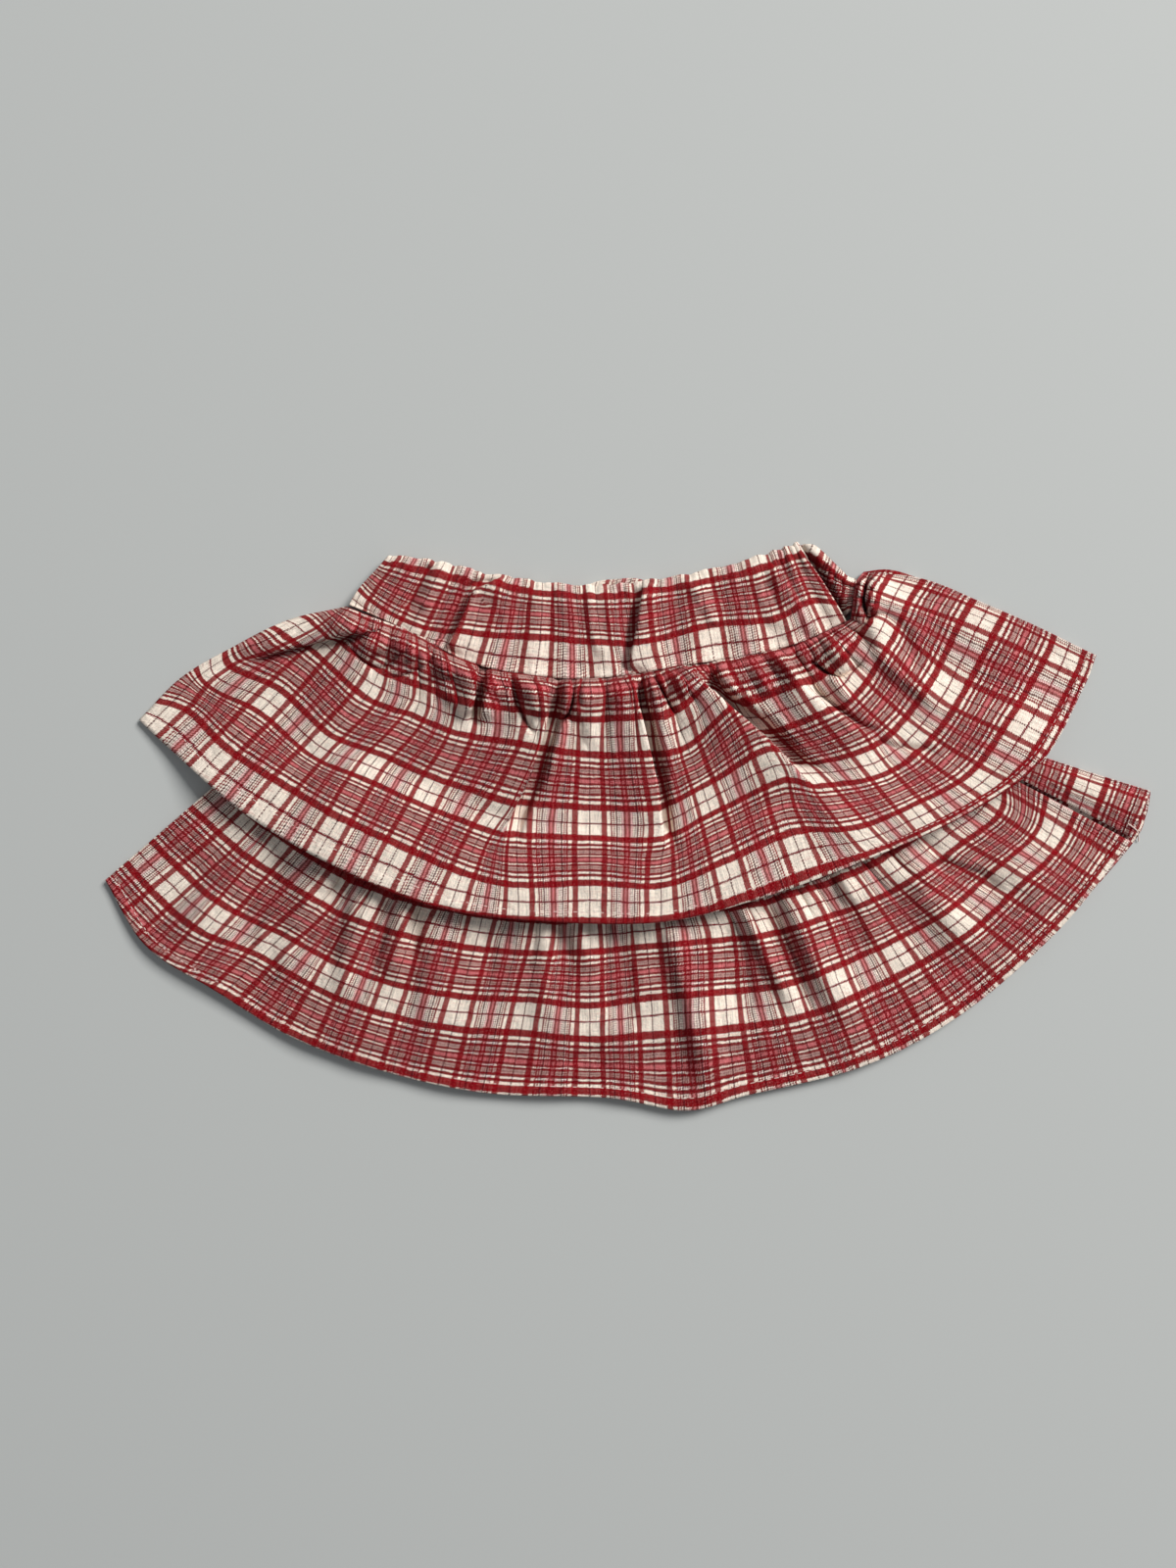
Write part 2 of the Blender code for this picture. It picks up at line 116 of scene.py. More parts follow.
class Edge:
    """A smooth line in the plan through a few stations, followed by its length from 0 to 1."""

    def __init__(self, *stations, move=(0, 0)):
        points = np.array(stations, float) + np.array(move, float)
        knots = np.vstack((2 * points[0] - points[1], points, 2 * points[-1] - points[-2]))
        step = np.linspace(0, 1, 12, endpoint=False)[:, None]
        spans = []
        for a, b, c, d in zip(knots, knots[1:], knots[2:], knots[3:]):
            spans.append(b + step * (c - a) / 2 + step**2 * (a - 2.5 * b + 2 * c - d / 2)
                         + step**3 * (1.5 * (b - c) + (d - a) / 2))
        self.line = np.vstack((*spans, points[-1:]))
        run = np.hypot(*np.diff(self.line, axis=0).T)
        self.share = np.concatenate(([0], np.cumsum(run))) / run.sum()

    def at(self, share):
        return np.stack([np.interp(share, self.share, self.line[:, k]) for k in (0, 1)], axis=-1)

    def y_at(self, x):
        return np.interp(x, self.line[:, 0], self.line[:, 1])

    def nearest(self, point):
        """The share of the line that lies nearest to a point."""
        fine = np.linspace(0, 1, 2001)
        return fine[np.argmin(np.hypot(*(self.at(fine) - point).T))]


class Weave:
    """Where each thread of a flat panel lies in the plan. Its warp threads are given as rows of points,
    seam to hem, with the depth of each, and between them the cloth is spread smoothly. Its seam and hem
    follow their own edges."""

    def __init__(self, width, depth, threads, seam, hem):
        self.width, self.depth = width, depth
        self.u = np.linspace(0, width, 481)
        self.v = np.linspace(0, depth, 57)
        at_u = [thread[0] for thread in threads]
        rows = np.array([through(depths, points, self.v) for _, depths, points in threads])
        self.plan = through(at_u, rows, self.u)
        near = 22.0
        for edge, row, reach in ((seam, 0, self.v), (hem, -1, depth - self.v)):
            shares = [edge.nearest(points[row]) for _, _, points in threads]
            exact = edge.at(np.clip(through(at_u, shares, self.u), 0, 1))
            self.plan += (exact - self.plan[:, row])[:, None] * (smooth(1 - reach / near))[None, :, None]

    def at(self, u, v):
        i = np.clip(u / self.width * (len(self.u) - 1), 0, len(self.u) - 1.001)
        j = np.clip(v / self.depth * (len(self.v) - 1), 0, len(self.v) - 1.001)
        a, b = i.astype(int), j.astype(int)
        s, t = (i - a)[:, None], (j - b)[:, None]
        return ((self.plan[a, b] * (1 - s) + self.plan[a + 1, b] * s) * (1 - t)
                + (self.plan[a, b + 1] * (1 - s) + self.plan[a + 1, b + 1] * s) * t)

    def spread(self, u, v):
        """Millimetres in the plan for each millimetre of weft: 1 where the cloth is flat, less where it is
        gathered."""
        return np.hypot(*((self.at(u + 3, v) - self.at(u - 3, v)) / 6).T).clip(0.35, 1)


Fold = namedtuple("Fold", "name height left right path lean trough", defaults=(0, 0))
POCKET = 3.0  # a trough beside a leaning fold is this wide at least, and wider beside one that leans far


def add_folds(plan, folds, ending=0.3):
    """The folds' heights at points of the plan, and how far each point is pushed sideways. A fold runs
    along its path and is as wide as it says to the left and right of it. One that leans laps over the cloth
    beside it, with its edge on the path and a trough beyond it."""
    lift, push = np.zeros(len(plan)), np.zeros_like(plan)
    for fold in folds:
        line = Edge(*fold.path).line[::3]
        reach = 3.2 * max(fold.left, fold.right) + abs(fold.lean) + 9
        inside = np.flatnonzero(((plan > line.min(0) - reach) & (plan < line.max(0) + reach)).all(1))
        spots = plan[inside]
        nearest = np.full(len(spots), np.inf)
        off, way, side = np.zeros(len(spots)), np.zeros(len(spots)), np.zeros_like(spots)
        gone, total = 0.0, np.hypot(*np.diff(line, axis=0).T).sum()
        for start, end in zip(line, line[1:]):
            length = np.hypot(*(end - start))
            along = (end - start) / length
            share = np.clip((spots - start) @ along / length, 0, 1)
            gap = spots - start - share[:, None] * (end - start)
            away = np.hypot(*gap.T)
            across = np.array((-along[1], along[0]))
            better = away < nearest
            nearest = np.where(better, away, nearest)
            off = np.where(better, away * np.where(gap @ across < 0, -1, 1), off)
            way = np.where(better, (gone + share * length) / total, way)
            side = np.where(better[:, None], across, side)
            gone += length
        window = smooth((1 - way) / ending) * smooth(0.6 + way / 0.3)
        off = off + fold.lean * window
        sharp = 2 if fold.height > 0 else 3.4
        crest = np.exp(-(abs(off / np.where(off < 0, fold.left, fold.right)) ** sharp)) * window
        half = (POCKET + 0.9 * abs(fold.lean)) / 2
        beside = np.exp(-(((off * np.sign(fold.lean) - abs(fold.lean) - half) / half) ** 4)) * window
        lift[inside] += (fold.height * crest - fold.trough * beside) * (window if fold.lean else 1)
        push[inside] += (fold.lean * crest)[:, None] * side
    return lift, push


def waves(turns, drift=0.0):
    """The phase of uneven waves side by side, that many turns along."""
    return 2 * pi * (turns + 0.30 * np.sin(2 * pi * (0.137 * turns + drift))
                     + 0.17 * np.sin(2 * pi * (0.31 * turns + 3 * drift)))


def crowded(lines, length, *tight):
    """The shares of a length at which its grid lines lie, up to four times as close at each tight place,
    which has a middle and a reach."""
    fine = np.linspace(0, 1, 4001)
    density = 1 + sum(3 * np.exp(-(((fine * length - middle) / reach) ** 2)) for middle, reach in tight)
    run = np.concatenate(([0], np.cumsum(density[1:])))
    return np.interp(np.linspace(0, 1, lines + 1), run / run[-1], fine)


def placed(plan, height):
    """The plan is given as the camera sees it, so what lies higher comes a little nearer to the picture's
    middle."""
    under_camera = 1000 * np.array(camera.location[:2])
    plan = plan + (under_camera - plan) * (height / (1000 * CAMERA_HEIGHT))[:, None]
    return np.column_stack((plan, height))


def cloth(name, columns, rows, lay, wall=WALL):
    """A panel as a fine grid of its flat sizes. lay gives the plan, the height and the place in the check
    of each point, all in millimetres, from its shares across and down."""
    columns, rows = (np.linspace(0, 1, lines + 1) if np.isscalar(lines) else lines
                     for lines in (columns, rows))
    down, across = (part.ravel() for part in np.meshgrid(rows, columns, indexing="ij"))
    columns, rows = len(columns) - 1, len(rows) - 1
    plan, height, check = lay(across, down)
    first = (np.arange(rows)[:, None] * (columns + 1) + np.arange(columns)).ravel()
    faces = np.column_stack((first, first + columns + 1, first + columns + 2, first + 1))
    mesh = bpy.data.meshes.new(name)
    mesh.from_pydata(placed(plan, height) / 1000, [], faces)
    marks = mesh.uv_layers.new(name="check")
    marks.data.foreach_set("uv", (np.asarray(check)[faces.ravel()] / 1000).ravel())
    mesh.shade_smooth()
    panel = bpy.data.objects.new(name, mesh)
    bpy.context.scene.collection.objects.link(panel)
    thick = panel.modifiers.new("wall", "SOLIDIFY")
    thick.thickness, thick.offset = wall / 1000, 1
    return panel


class Shade:
    """A value in a material's nodes, which can be written into sums."""

    def __init__(self, tree, socket=None):
        self.tree, self.socket = tree, socket

    def node(self, kind, inputs=(), output=0, stops=(), **settings):
        """Any node, with its settings first and then the values or links of its sockets."""
        made = self.tree.nodes.new(kind)
        for name, value in settings.items():
            setattr(made, name, value)
        if stops:
            ramp = made.color_ramp
            ramp.interpolation = "CONSTANT"
            while len(ramp.elements) < len(stops):
                ramp.elements.new(1.0)
            for element, (place, colour) in zip(ramp.elements, stops):
                element.position, element.color = place, (*colour, 1)
        for key, value in dict(inputs).items():
            if isinstance(value, Shade):
                self.tree.links.new(value.socket, made.inputs[key])
            else:
                made.inputs[key].default_value = value
        return Shade(self.tree, made.outputs[output])

    def sums(self, operation, *values):
        return self.node("ShaderNodeMath", enumerate(values), operation=operation)

    def __add__(self, other):
        return self.sums("ADD", self, other)

    __radd__ = __add__

    def __mul__(self, other):
        return self.sums("MULTIPLY", self, other)

    __rmul__ = __mul__

    def __sub__(self, other):
        return self.sums("SUBTRACT", self, other)

    def __rsub__(self, other):
        return self.sums("SUBTRACT", other, self)

    def __truediv__(self, other):
        return self.sums("DIVIDE", self, other)

    def fold_back(self, half):
        """Runs from 0 up to half and back, again and again."""
        return self.sums("PINGPONG", self, half)

    def step(self, low, high):
        return self.node("ShaderNodeMapRange", {"Value": self, "From Min": low, "From Max": high},
                         interpolation_type="SMOOTHSTEP")

    def blend(self, share, first, second, kind="MIX"):
        """Two colours, with that share of the second."""
        return self.node("ShaderNodeMix", {0: share, 6: first, 7: second}, output=2,
                         data_type="RGBA", blend_type=kind)


RED, THIN_RED = (0.25, 0.001, 0.005), (0.21, 0.001, 0.005)
LINE_RED, DARK = (0.18, 0.003, 0.012), (0.10, 0.015, 0.015)
PINK, ROSE, PALE, WHITE = (0.58, 0.14, 0.15), (0.82, 0.50, 0.48), (0.90, 0.78, 0.69), (1.0, 0.95, 0.88)
GREY, PEPPER, CREAM = (0.50, 0.30, 0.27), (0.19, 0.06, 0.05), (0.95, 0.83, 0.71)
# each colour starts that many millimetres from the middle of the stripes and runs on to the next
WEFT_STRIPES = ((0, PINK), (0.7, THIN_RED), (1.8, WHITE), (2.3, THIN_RED), (3.4, GREY), (4.1, PEPPER),
                (4.4, GREY), (5.1, THIN_RED), (6.5, WHITE), (7.4, THIN_RED), (8.8, CREAM), (10.2, RED),
                (13.3, CREAM), (18.9, LINE_RED))
WARP_STRIPES = ((0, PINK), (0.4, THIN_RED), (1.4, ROSE), (2.1, PEPPER), (2.4, PALE), (3.0, PEPPER),
                (3.3, PALE), (3.9, DARK), (4.6, WHITE), (5.2, THIN_RED), (5.7, WHITE), (6.2, THIN_RED),
                (7.0, CREAM), (8.6, RED), (11.3, CREAM), (16.45, DARK))
# how far a dark yarn shows through the brushed nap where a pale one crosses it
WEFT_WINS, WARP_WINS = 0.94, 0.88


def stripes(place, repeat, table):
    """The colour of the yarn at a place, for stripes that run out from a middle and back."""
    half = repeat / 2
    return place.node("ShaderNodeValToRGB", {0: place.fold_back(half) / half},
                      stops=[(start / half, colour) for start, colour in table])


def brushed_twill(name, warp_colour, weft_colour, twill=0.95, depth=0.10):
    """A twill of two yarn colours with its slanting ribs, brushed until the ribs blur, with sheen and small
    creases. The colours are functions of the place in the check, in millimetres."""
    material = bpy.data.materials.new(name)
    material.use_nodes = True
    tree = material.node_tree
    surface = tree.nodes["Principled BSDF"]
    for setting, value in (("Sheen Weight", 0.015), ("Sheen Roughness", 0.55),
                           ("Sheen Tint", (1.0, 0.93, 0.88, 1)), ("Specular IOR Level", 0.08)):
        surface.inputs[setting].default_value = value
    start = Shade(tree)
    marks = start.node("ShaderNodeUVMap", uv_map="check")
    flat = start.node("ShaderNodeVectorMath", {0: marks, 3: 1000.0}, operation="SCALE")
    fluff = start.node("ShaderNodeTexNoise", {"Vector": flat, "Scale": 1.4, "Detail": 2.0, "Roughness": 0.7},
                       output="Color")
    drift = start.node("ShaderNodeTexNoise", {"Vector": flat, "Scale": 0.12, "Detail": 1.0}, output="Color")
    axes = [start.node("ShaderNodeSeparateXYZ", {0: value}, output=k)
            for value in (flat, fluff, drift) for k in (0, 1)]
    u, v, fluff_u, fluff_v, drift_u, drift_v = axes
    rib = (u + v + (fluff_u - 0.5) * 0.5).fold_back(twill / 2) / (twill / 2)
    across = u + (fluff_u - 0.5) * 1.1 + (drift_u - 0.5) * 0.9 + (rib - 0.5) * 0.5
    down = v + (fluff_v - 0.5) * 1.1 + (drift_v - 0.5) * 0.9 - (rib - 0.5) * 0.5
    along = start.node("ShaderNodeVectorMath", {0: flat, 1: (1.15, 0.09, 1.0)}, operation="MULTIPLY")
    aside = start.node("ShaderNodeVectorMath", {0: flat, 1: (0.09, 1.15, 1.0)}, operation="MULTIPLY")
    warp_slub, weft_slub = (start.node("ShaderNodeTexNoise", {"Vector": way, "Scale": 1.0, "Detail": 2.0,
                                                              "Roughness": 0.7}) for way in (along, aside))
    warp_up = (rib + (warp_slub - weft_slub) * 1.6).step(0.42, 0.80)
    warp, weft = warp_colour(across), weft_colour(down)
    woven = start.blend(WEFT_WINS, start.blend(warp_up, weft, warp), weft, "DARKEN")
    woven = start.blend(WARP_WINS, woven, warp, "DARKEN")
    nap = start.node("ShaderNodeTexNoise", {"Vector": flat, "Scale": 1.6, "Detail": 3.0, "Roughness": 0.8})
    # soft lighter and darker blotches about 20 mm across: painted shade of the cloth's small crumples,
    # multiplied into its colour below
    painted_crumple_shade = start.node("ShaderNodeTexNoise", {"Vector": flat, "Scale": 0.05, "Detail": 3.0})
    fibre = start.blend(nap.step(0.55, 0.70) * 0.20, woven, (0.90, 0.62, 0.60, 1))
    fibre = start.blend(weft_slub.step(0.54, 0.70) * 0.40, fibre, (0.30, 0.03, 0.03, 1), "DARKEN")
    # the yarns' tone varies at random with the nap and the slubs, and with the 20 mm blotches of painted
    # crumple shade
    shade = nap * 1.2 + painted_crumple_shade * 0.16 + (warp_slub * 1.5 + weft_slub * 0.9) * 0.68 - 0.53
    shades = start.node("ShaderNodeCombineXYZ", {0: shade, 1: shade, 2: shade})
    shaded = start.node("ShaderNodeVectorMath", {0: fibre, 1: shades}, operation="MULTIPLY")
    tree.links.new(shaded.socket, surface.inputs["Base Color"])
    tree.links.new((0.78 + nap * 0.25).socket, surface.inputs["Roughness"])
    crumple = start.node("ShaderNodeTexNoise", {"Vector": flat, "Scale": 0.16, "Detail": 3.0,
                                                "Roughness": 0.55, "Distortion": 0.6})
    height = rib * depth + nap * 0.2 + crumple * 1.5
    bumps = start.node("ShaderNodeBump", {"Strength": 0.8, "Distance": 0.001, "Height": height})
    tree.links.new(bumps.socket, surface.inputs["Normal"])
    return material


checked = brushed_twill("checked_brushed_cotton",
                        lambda across: stripes(across + CHECK_ACROSS / 2, CHECK_ACROSS, WARP_STRIPES),
                        lambda down: stripes(down + CHECK_DOWN / 2, CHECK_DOWN, WEFT_STRIPES))

BAND_HEIGHT, BAND_TURN, BAND_WIDTH = 40.0, 12.0, 281.0
BAND_FACE, BAND_ROLL = 5.2, 1.1  # its height over the floor, and the radius it turns over with
PUCKER, SWELL, EDGE_WAVE = 7.6, 23.0, 17.0  # how far across each is
BAND_LINE = 35.2  # the thin line of the check lies this far below the top edge
WAIST_SEAM = ((-125, 100), (-97, 88), (-75, 76), (-53, 70), (-18, 67), (26, 73), (70, 81), (98, 92.6))
BAND_TOP = ((-108, 121), (-88, 118), (-62, 112), (-35, 108), (-9, 107), (22, 111), (53, 118), (77.5, 126))
BAND_THREADS = (
    # where each thin warp line crosses the top edge and the thin weft line, in the plan
    ((-106.5, 121), (-121.5, 101.5)),
    ((-83.5, 116.5), (-97.5, 88.5)),
    ((-61, 110.5), (-71, 80)),
    ((-38.5, 107), (-40.5, 76)),
    ((-14.5, 104.5), (-11, 74.5)),
    ((7, 107), (8.5, 75.5)),
    ((32, 112), (37.5, 82)),
    ((59, 119), (67, 86)),
    ((75, 125), (90, 95)),
)
BAND_FOLDS = (
    Fold("end valley", -1.4, 2.2, 2.2, ((-88, 118), (-91, 115), (-96, 105), (-99.5, 98))),
    Fold("end ridge", 0.9, 2.6, 2.6, ((-84, 116.5), (-88, 108), (-92, 98))),
    Fold("big crease", 2.2, 1.2, 9, lean=-2.2, trough=2.2,
         path=((-56.5, 111.5), (-64.5, 108), (-69, 105.5), (-72, 98.5), (-76, 90), (-80, 82.5), (-83, 79.5))),
    Fold("first ridge", 0.5, 2.4, 2.4, ((-26, 105), (-25, 94.5), (-24, 86))),
    Fold("second ridge", 0.7, 2.2, 2.4, ((-18.5, 104.5), (-16.5, 93.5), (-14.5, 84), (-10, 77.5))),
    Fold("third ridge", 0.6, 2.4, 2.6, ((-8, 106.5), (-7.5, 97), (-7, 88), (-3, 77.5))),
    Fold("lapped pleat", 2.0, 1.2, 9, lean=-2.6, trough=1.9,
         path=((7.5, 107), (6, 98), (4, 86), (2, 76), (1.5, 68))),
    Fold("fourth ridge", 1.3, 3, 3.6, ((28.5, 111.5), (32.5, 103.5), (36, 98), (40, 90.5))),
    Fold("fifth ridge", 1.1, 3, 3, ((56, 117.5), (59, 109), (62.5, 100), (66.5, 90))),
    Fold("sixth ridge", 1.5, 4, 2.2, lean=0.8,
         path=((66, 115.5), (73.5, 104.5), (78, 97), (83.5, 85.5))),
)


def band_threads():
    seam = Edge(*WAIST_SEAM)
    yield 0.0, (0, BAND_LINE, BAND_HEIGHT), ((-108, 121), (-123.5, 103), (-125, 100))
    for k, (top, low) in enumerate(BAND_THREADS):
        yield 4 + CHECK_ACROSS * k, (0, BAND_LINE, BAND_HEIGHT), (top, low, seam.at(seam.nearest(low)))
    yield BAND_WIDTH, (0, BAND_LINE, BAND_HEIGHT), ((77.5, 126), (96.5, 95.5), (98, 92.6))


band_weave = Weave(BAND_WIDTH, BAND_HEIGHT, list(band_threads()), Edge(*BAND_TOP), Edge(*WAIST_SEAM))


def band_front(across, down):
    """Its face lies from the top edge to the seam, and above that it turns over the edge and back behind
    the elastic."""
    u, v = across * BAND_WIDTH, down * (BAND_HEIGHT + BAND_TURN) - BAND_TURN
    face = np.maximum(v, 0)
    plan = band_weave.at(u, face)
    puckers = 0.5 - 0.5 * np.cos(waves(u / PUCKER, 0.2))
    folds, push = add_folds(plan, BAND_FOLDS, ending=0.12)
    close = smooth(face / 2.5) * smooth((BAND_HEIGHT - face) / 4)
    turn = np.minimum(np.maximum(-v, 0) / BAND_ROLL, pi)
    behind = np.maximum(-v - pi * BAND_ROLL, 0)
    height = BAND_FACE + 0.6 * puckers * smooth(1.2 - face / 12)
    height = height + 0.5 * smooth(face / 9) * smooth((BAND_HEIGHT - face) / 9)
    swells = (0.5 - 0.5 * np.cos(waves(u / SWELL, 0.5))) * smooth(face / 5)
    height = height + 1.7 * folds * (0.35 + 0.65 * close) + 1.5 * swells
    height = height + 0.9 * (1 - smooth((BAND_HEIGHT - face) / 3))
    height = height - BAND_ROLL * (1 - np.cos(turn))
    up = (band_weave.at(u, np.zeros_like(u)) - band_weave.at(u, np.full_like(u, 6.0))) / 6
    plan = plan + push * (0.35 + 0.65 * close)[:, None]
    edge = 0.3 * puckers + 1.0 * (0.5 - 0.5 * np.cos(waves(u / EDGE_WAVE, 0.8)))
    plan = plan + up * (BAND_ROLL * np.sin(turn) - behind + edge * smooth(1 - face / 8))[:, None]
    return plan, np.maximum(height, 3.2), np.column_stack((u - 4, v - BAND_LINE))


waistband_front = cloth("band_front_cloth", 300, 62, band_front)
waistband_front.data.materials.append(checked)
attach(waistband_front, "root")
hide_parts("waistband_front")

# ------------------------------------------------------------- waistband, back
# The same band behind, on the same elastic. It is longer than the front, so it stands up beyond the front's
# right end and turns over there into a short strip.
BAND_STRIP_TOP = ((77, 126.6), (81.3, 127.2), (84.7, 125.3), (88.5, 121.9), (94.6, 115.8), (98.1, 112.3),
                  (102, 110.8))
BAND_STRIP_EDGE = ((102, 110.8), (101.6, 104), (100.6, 99), (98.5, 94.5))
PEEK, PEEK_MIDDLE, PEEK_HALF = 4.4, -5.0, 14.0  # it shows above the front's top edge near the middle
BAND_BACK_SPREAD, BAND_BACK_WIDTH = 290, 295  # how far it spreads as it lies, and its width when flat
BAND_BACK_PUCKER = 6.0


def beyond(x, y, start, end):
    """How far a point lies to the left of the line that runs from start to end."""
    run = np.hypot(end[0] - start[0], end[1] - start[1])
    return ((x - start[0]) * (start[1] - end[1]) + (y - start[1]) * (end[0] - start[0])) / run


def between(top, bottom, left, right, a, d):
    """The plan of a panel that runs straight from its top edge to its bottom one, but follows the left and
    right edges at its sides."""
    a, d = a[:, None], d[:, None]
    left_bend = left.at(d[:, 0]) - (1 - d) * left.at(0) - d * left.at(1)
    right_bend = right.at(d[:, 0]) - (1 - d) * right.at(0) - d * right.at(1)
    return (1 - d) * top.at(a[:, 0]) + d * bottom.at(a[:, 0]) + (1 - a) ** 3 * left_bend + a**3 * right_bend


def band_back(across, down):
    top = Edge((-107, 120.2), *BAND_TOP[1:-1], *BAND_STRIP_TOP)
    bottom = Edge(*WAIST_SEAM[:-1], BAND_STRIP_EDGE[-1])
    left = Edge((-107, 120.2), (-114, 108.4), (-125, 100))
    plan = between(top, bottom, left, Edge(*BAND_STRIP_EDGE), across, down)
    past_front = beyond(*plan.T, (78, 124.5), (96.5, 94))
    shows = np.exp(-(((plan[:, 0] - PEEK_MIDDLE) / PEEK_HALF) ** 4)) * (1 - smooth(down * 4))
    plan = plan + np.column_stack((0 * shows, PEEK * shows))
    puckers = 0.5 - 0.5 * np.cos(waves(across * BAND_BACK_SPREAD / BAND_BACK_PUCKER, 0.7))
    rim = 1 - smooth(down * BAND_HEIGHT / 2.2)
    rolled = np.exp(-(((down * BAND_HEIGHT - 3) / 2.5) ** 2))
    strip = smooth((past_front - 0.8) / 4.5)
    height = 0.4 + strip * (4.4 + 1.0 * rolled - 2.0 * rim + 0.6 * puckers)
    return plan, height, np.column_stack((across * BAND_BACK_WIDTH + 7, down * BAND_HEIGHT - BAND_LINE))


waistband_back = cloth("band_back_cloth", crowded(240, BAND_BACK_SPREAD, (280, 14)), 40, band_back, wall=1.2)
waistband_back.data.materials.append(checked)
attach(waistband_back, "root")
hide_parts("waistband_back")

# ----------------------------------------------------------- upper tier, front
# A straight strip of checked cotton gathered into the waist seam until it is half as wide, with its hem
# turned twice. Three deep folds run down it, and small puffed lobes crowd under the band.
PLY = 1.3
TIER_DEPTH = 110.0
HEM_TURN, HEM_STITCHES = 5.2, 4.1  # how far up from its edge a hem is turned and stitched
UPPER_WIDTH = 521.5
RUFFLE_HEIGHT = 2.8
BIG_GATHER, SMALL_GATHER, SWAY = 21.0, 10.5, 61.0  # how far across each is on the flat cloth
RAISED, HEM_LIFT = 4.2, 3.2  # the soft cloth stands this high over what it lies on, and more at its hem
UPPER_LEFT_SIDE = ((-126, 99.3), (-150, 94), (-178, 80.5), (-205, 64), (-219, 48.4))
UPPER_KNOT = ((100.6, 95), (101.6, 101), (103, 110.5), (106.1, 115.4))
UPPER_RIGHT_SIDE = ((106.1, 115.4), (118.3, 116.2), (136, 110.4), (180, 91.8), (210, 77))
UPPER_HEM = ((-219, 48.4), (-207, 37), (-172, 6.6), (-128, -19), (-84, -36), (-35, -42), (17, -42), (61, -31),
             (105, -15), (149, 4.4), (185, 29), (204, 62), (210, 77))
LOWER_SEAM = ((-152, 48), (-120, 22), (-80, 2), (-40, -9), (0, -12), (45, -8), (85, 8), (112, 28), (128, 46))
LOWER_LEFT_SIDE = ((-152, 48), (-187, 17.6), (-234.3, -23.3))
LOWER_CREASE = ((128, 46), (178, 20.5), (226, -5))
FLAP_EDGE = ((129, 53), (187, 32), (234.3, 16.7))
upper_seam = Edge(UPPER_LEFT_SIDE[0], *WAIST_SEAM[1:-1], (99, 93), *UPPER_KNOT, move=(0, -0.45))
upper_hem, lower_seam = Edge(*UPPER_HEM), Edge(*LOWER_SEAM)


def back_level(x, y, plies=0):
    return PLY * smooth((y - upper_hem.y_at(x) + 18 + 9 * plies) / (9 + 3 * plies))


def front_level(x, y):
    """The yoke and the lower tier's front lie on the shorts, and on their own backs beside them."""
    over_shorts = smooth((x + 152) / 28) * smooth((128 - x) / 28) * smooth((y + 112) / 25)
    return back_level(x, y, 3) + PLY + 2 * PLY * over_shorts


def ruffle_room(x, y):
    """1 inside the lower tier, where its gathers stand up, and 0 at its sides."""
    inside = np.minimum(-beyond(x, y, LOWER_LEFT_SIDE[2], LOWER_LEFT_SIDE[0]),
                        -beyond(x, y, LOWER_CREASE[0], LOWER_CREASE[2]))
    return smooth((inside - 3) / 40)


def upper_level(x, y, from_side):
    """The upper tier's front lies over all of these, and comes down to its own back at its sides."""
    past_left = np.minimum(beyond(x, y, LOWER_LEFT_SIDE[2], LOWER_LEFT_SIDE[0]),
                           beyond(x, y, LOWER_LEFT_SIDE[0], WAIST_SEAM[0]))
    past_right = np.minimum(beyond(x, y, FLAP_EDGE[0], FLAP_EDGE[2]), beyond(x, y, (99, 93), LOWER_CREASE[0]))
    over = smooth(1 - (past_left + 8) / 50) * smooth(1 - (past_right - 5) / 28)
    gathers_below = RUFFLE_HEIGHT * ruffle_room(x, y) * smooth((lower_seam.y_at(x) + 14 - y) / 12)
    return PLY + smooth(from_side / 16) * over * (front_level(x, y) + 0.7 + gathers_below)


UPPER_THREADS = (
    # where each thin warp line meets the seam and crosses the three thin weft lines, in the plan
    ((-127.5, 97), (-148.5, 91), (-187, 72), (-211, 49.5)),
    ((-125, 93), (-136, 82.5), (-160.5, 56.5), (-187, 29)),
    ((-108.5, 87.5), (-114, 64.5), (-138, 36.5), (-160.5, 11)),
    ((-95, 82.5), (-93, 56.5), (-115.5, 27.5), (-134.5, -4)),
    ((-78.5, 77.5), (-74, 49.5), (-89.5, 16), (-107, -16.5)),
    ((-45.5, 68), (-45, 45.5), (-62, 6.5), (-77, -28)),
    ((-34, 68), (-38.5, 44), (-49, 4), (-49, -33)),
    ((-17, 68), (-17, 41), (-17, 2), (-17, -32.5)),
    ((4, 68), (7, 41), (14, 2), (15, -33)),
    ((14.5, 70.5), (24, 43.5), (35.5, 12.5), (46, -23)),
    ((27.5, 71), (42, 57.5), (62, 25), (77, -10.5)),
    ((40, 74.5), (55, 49.5), (81, 24), (107, -5)),
    ((69, 79), (84, 57.5), (109.5, 28.5), (130.5, 5)),
    ((87, 79.5), (99, 66.5), (127.5, 41.5), (159, 20.5)),
    ((100, 93.5), (113, 88.5), (143, 62.5), (179, 45.5)),
    ((105.5, 111.5), (121, 106.5), (159, 94), (196, 76.5)),
)
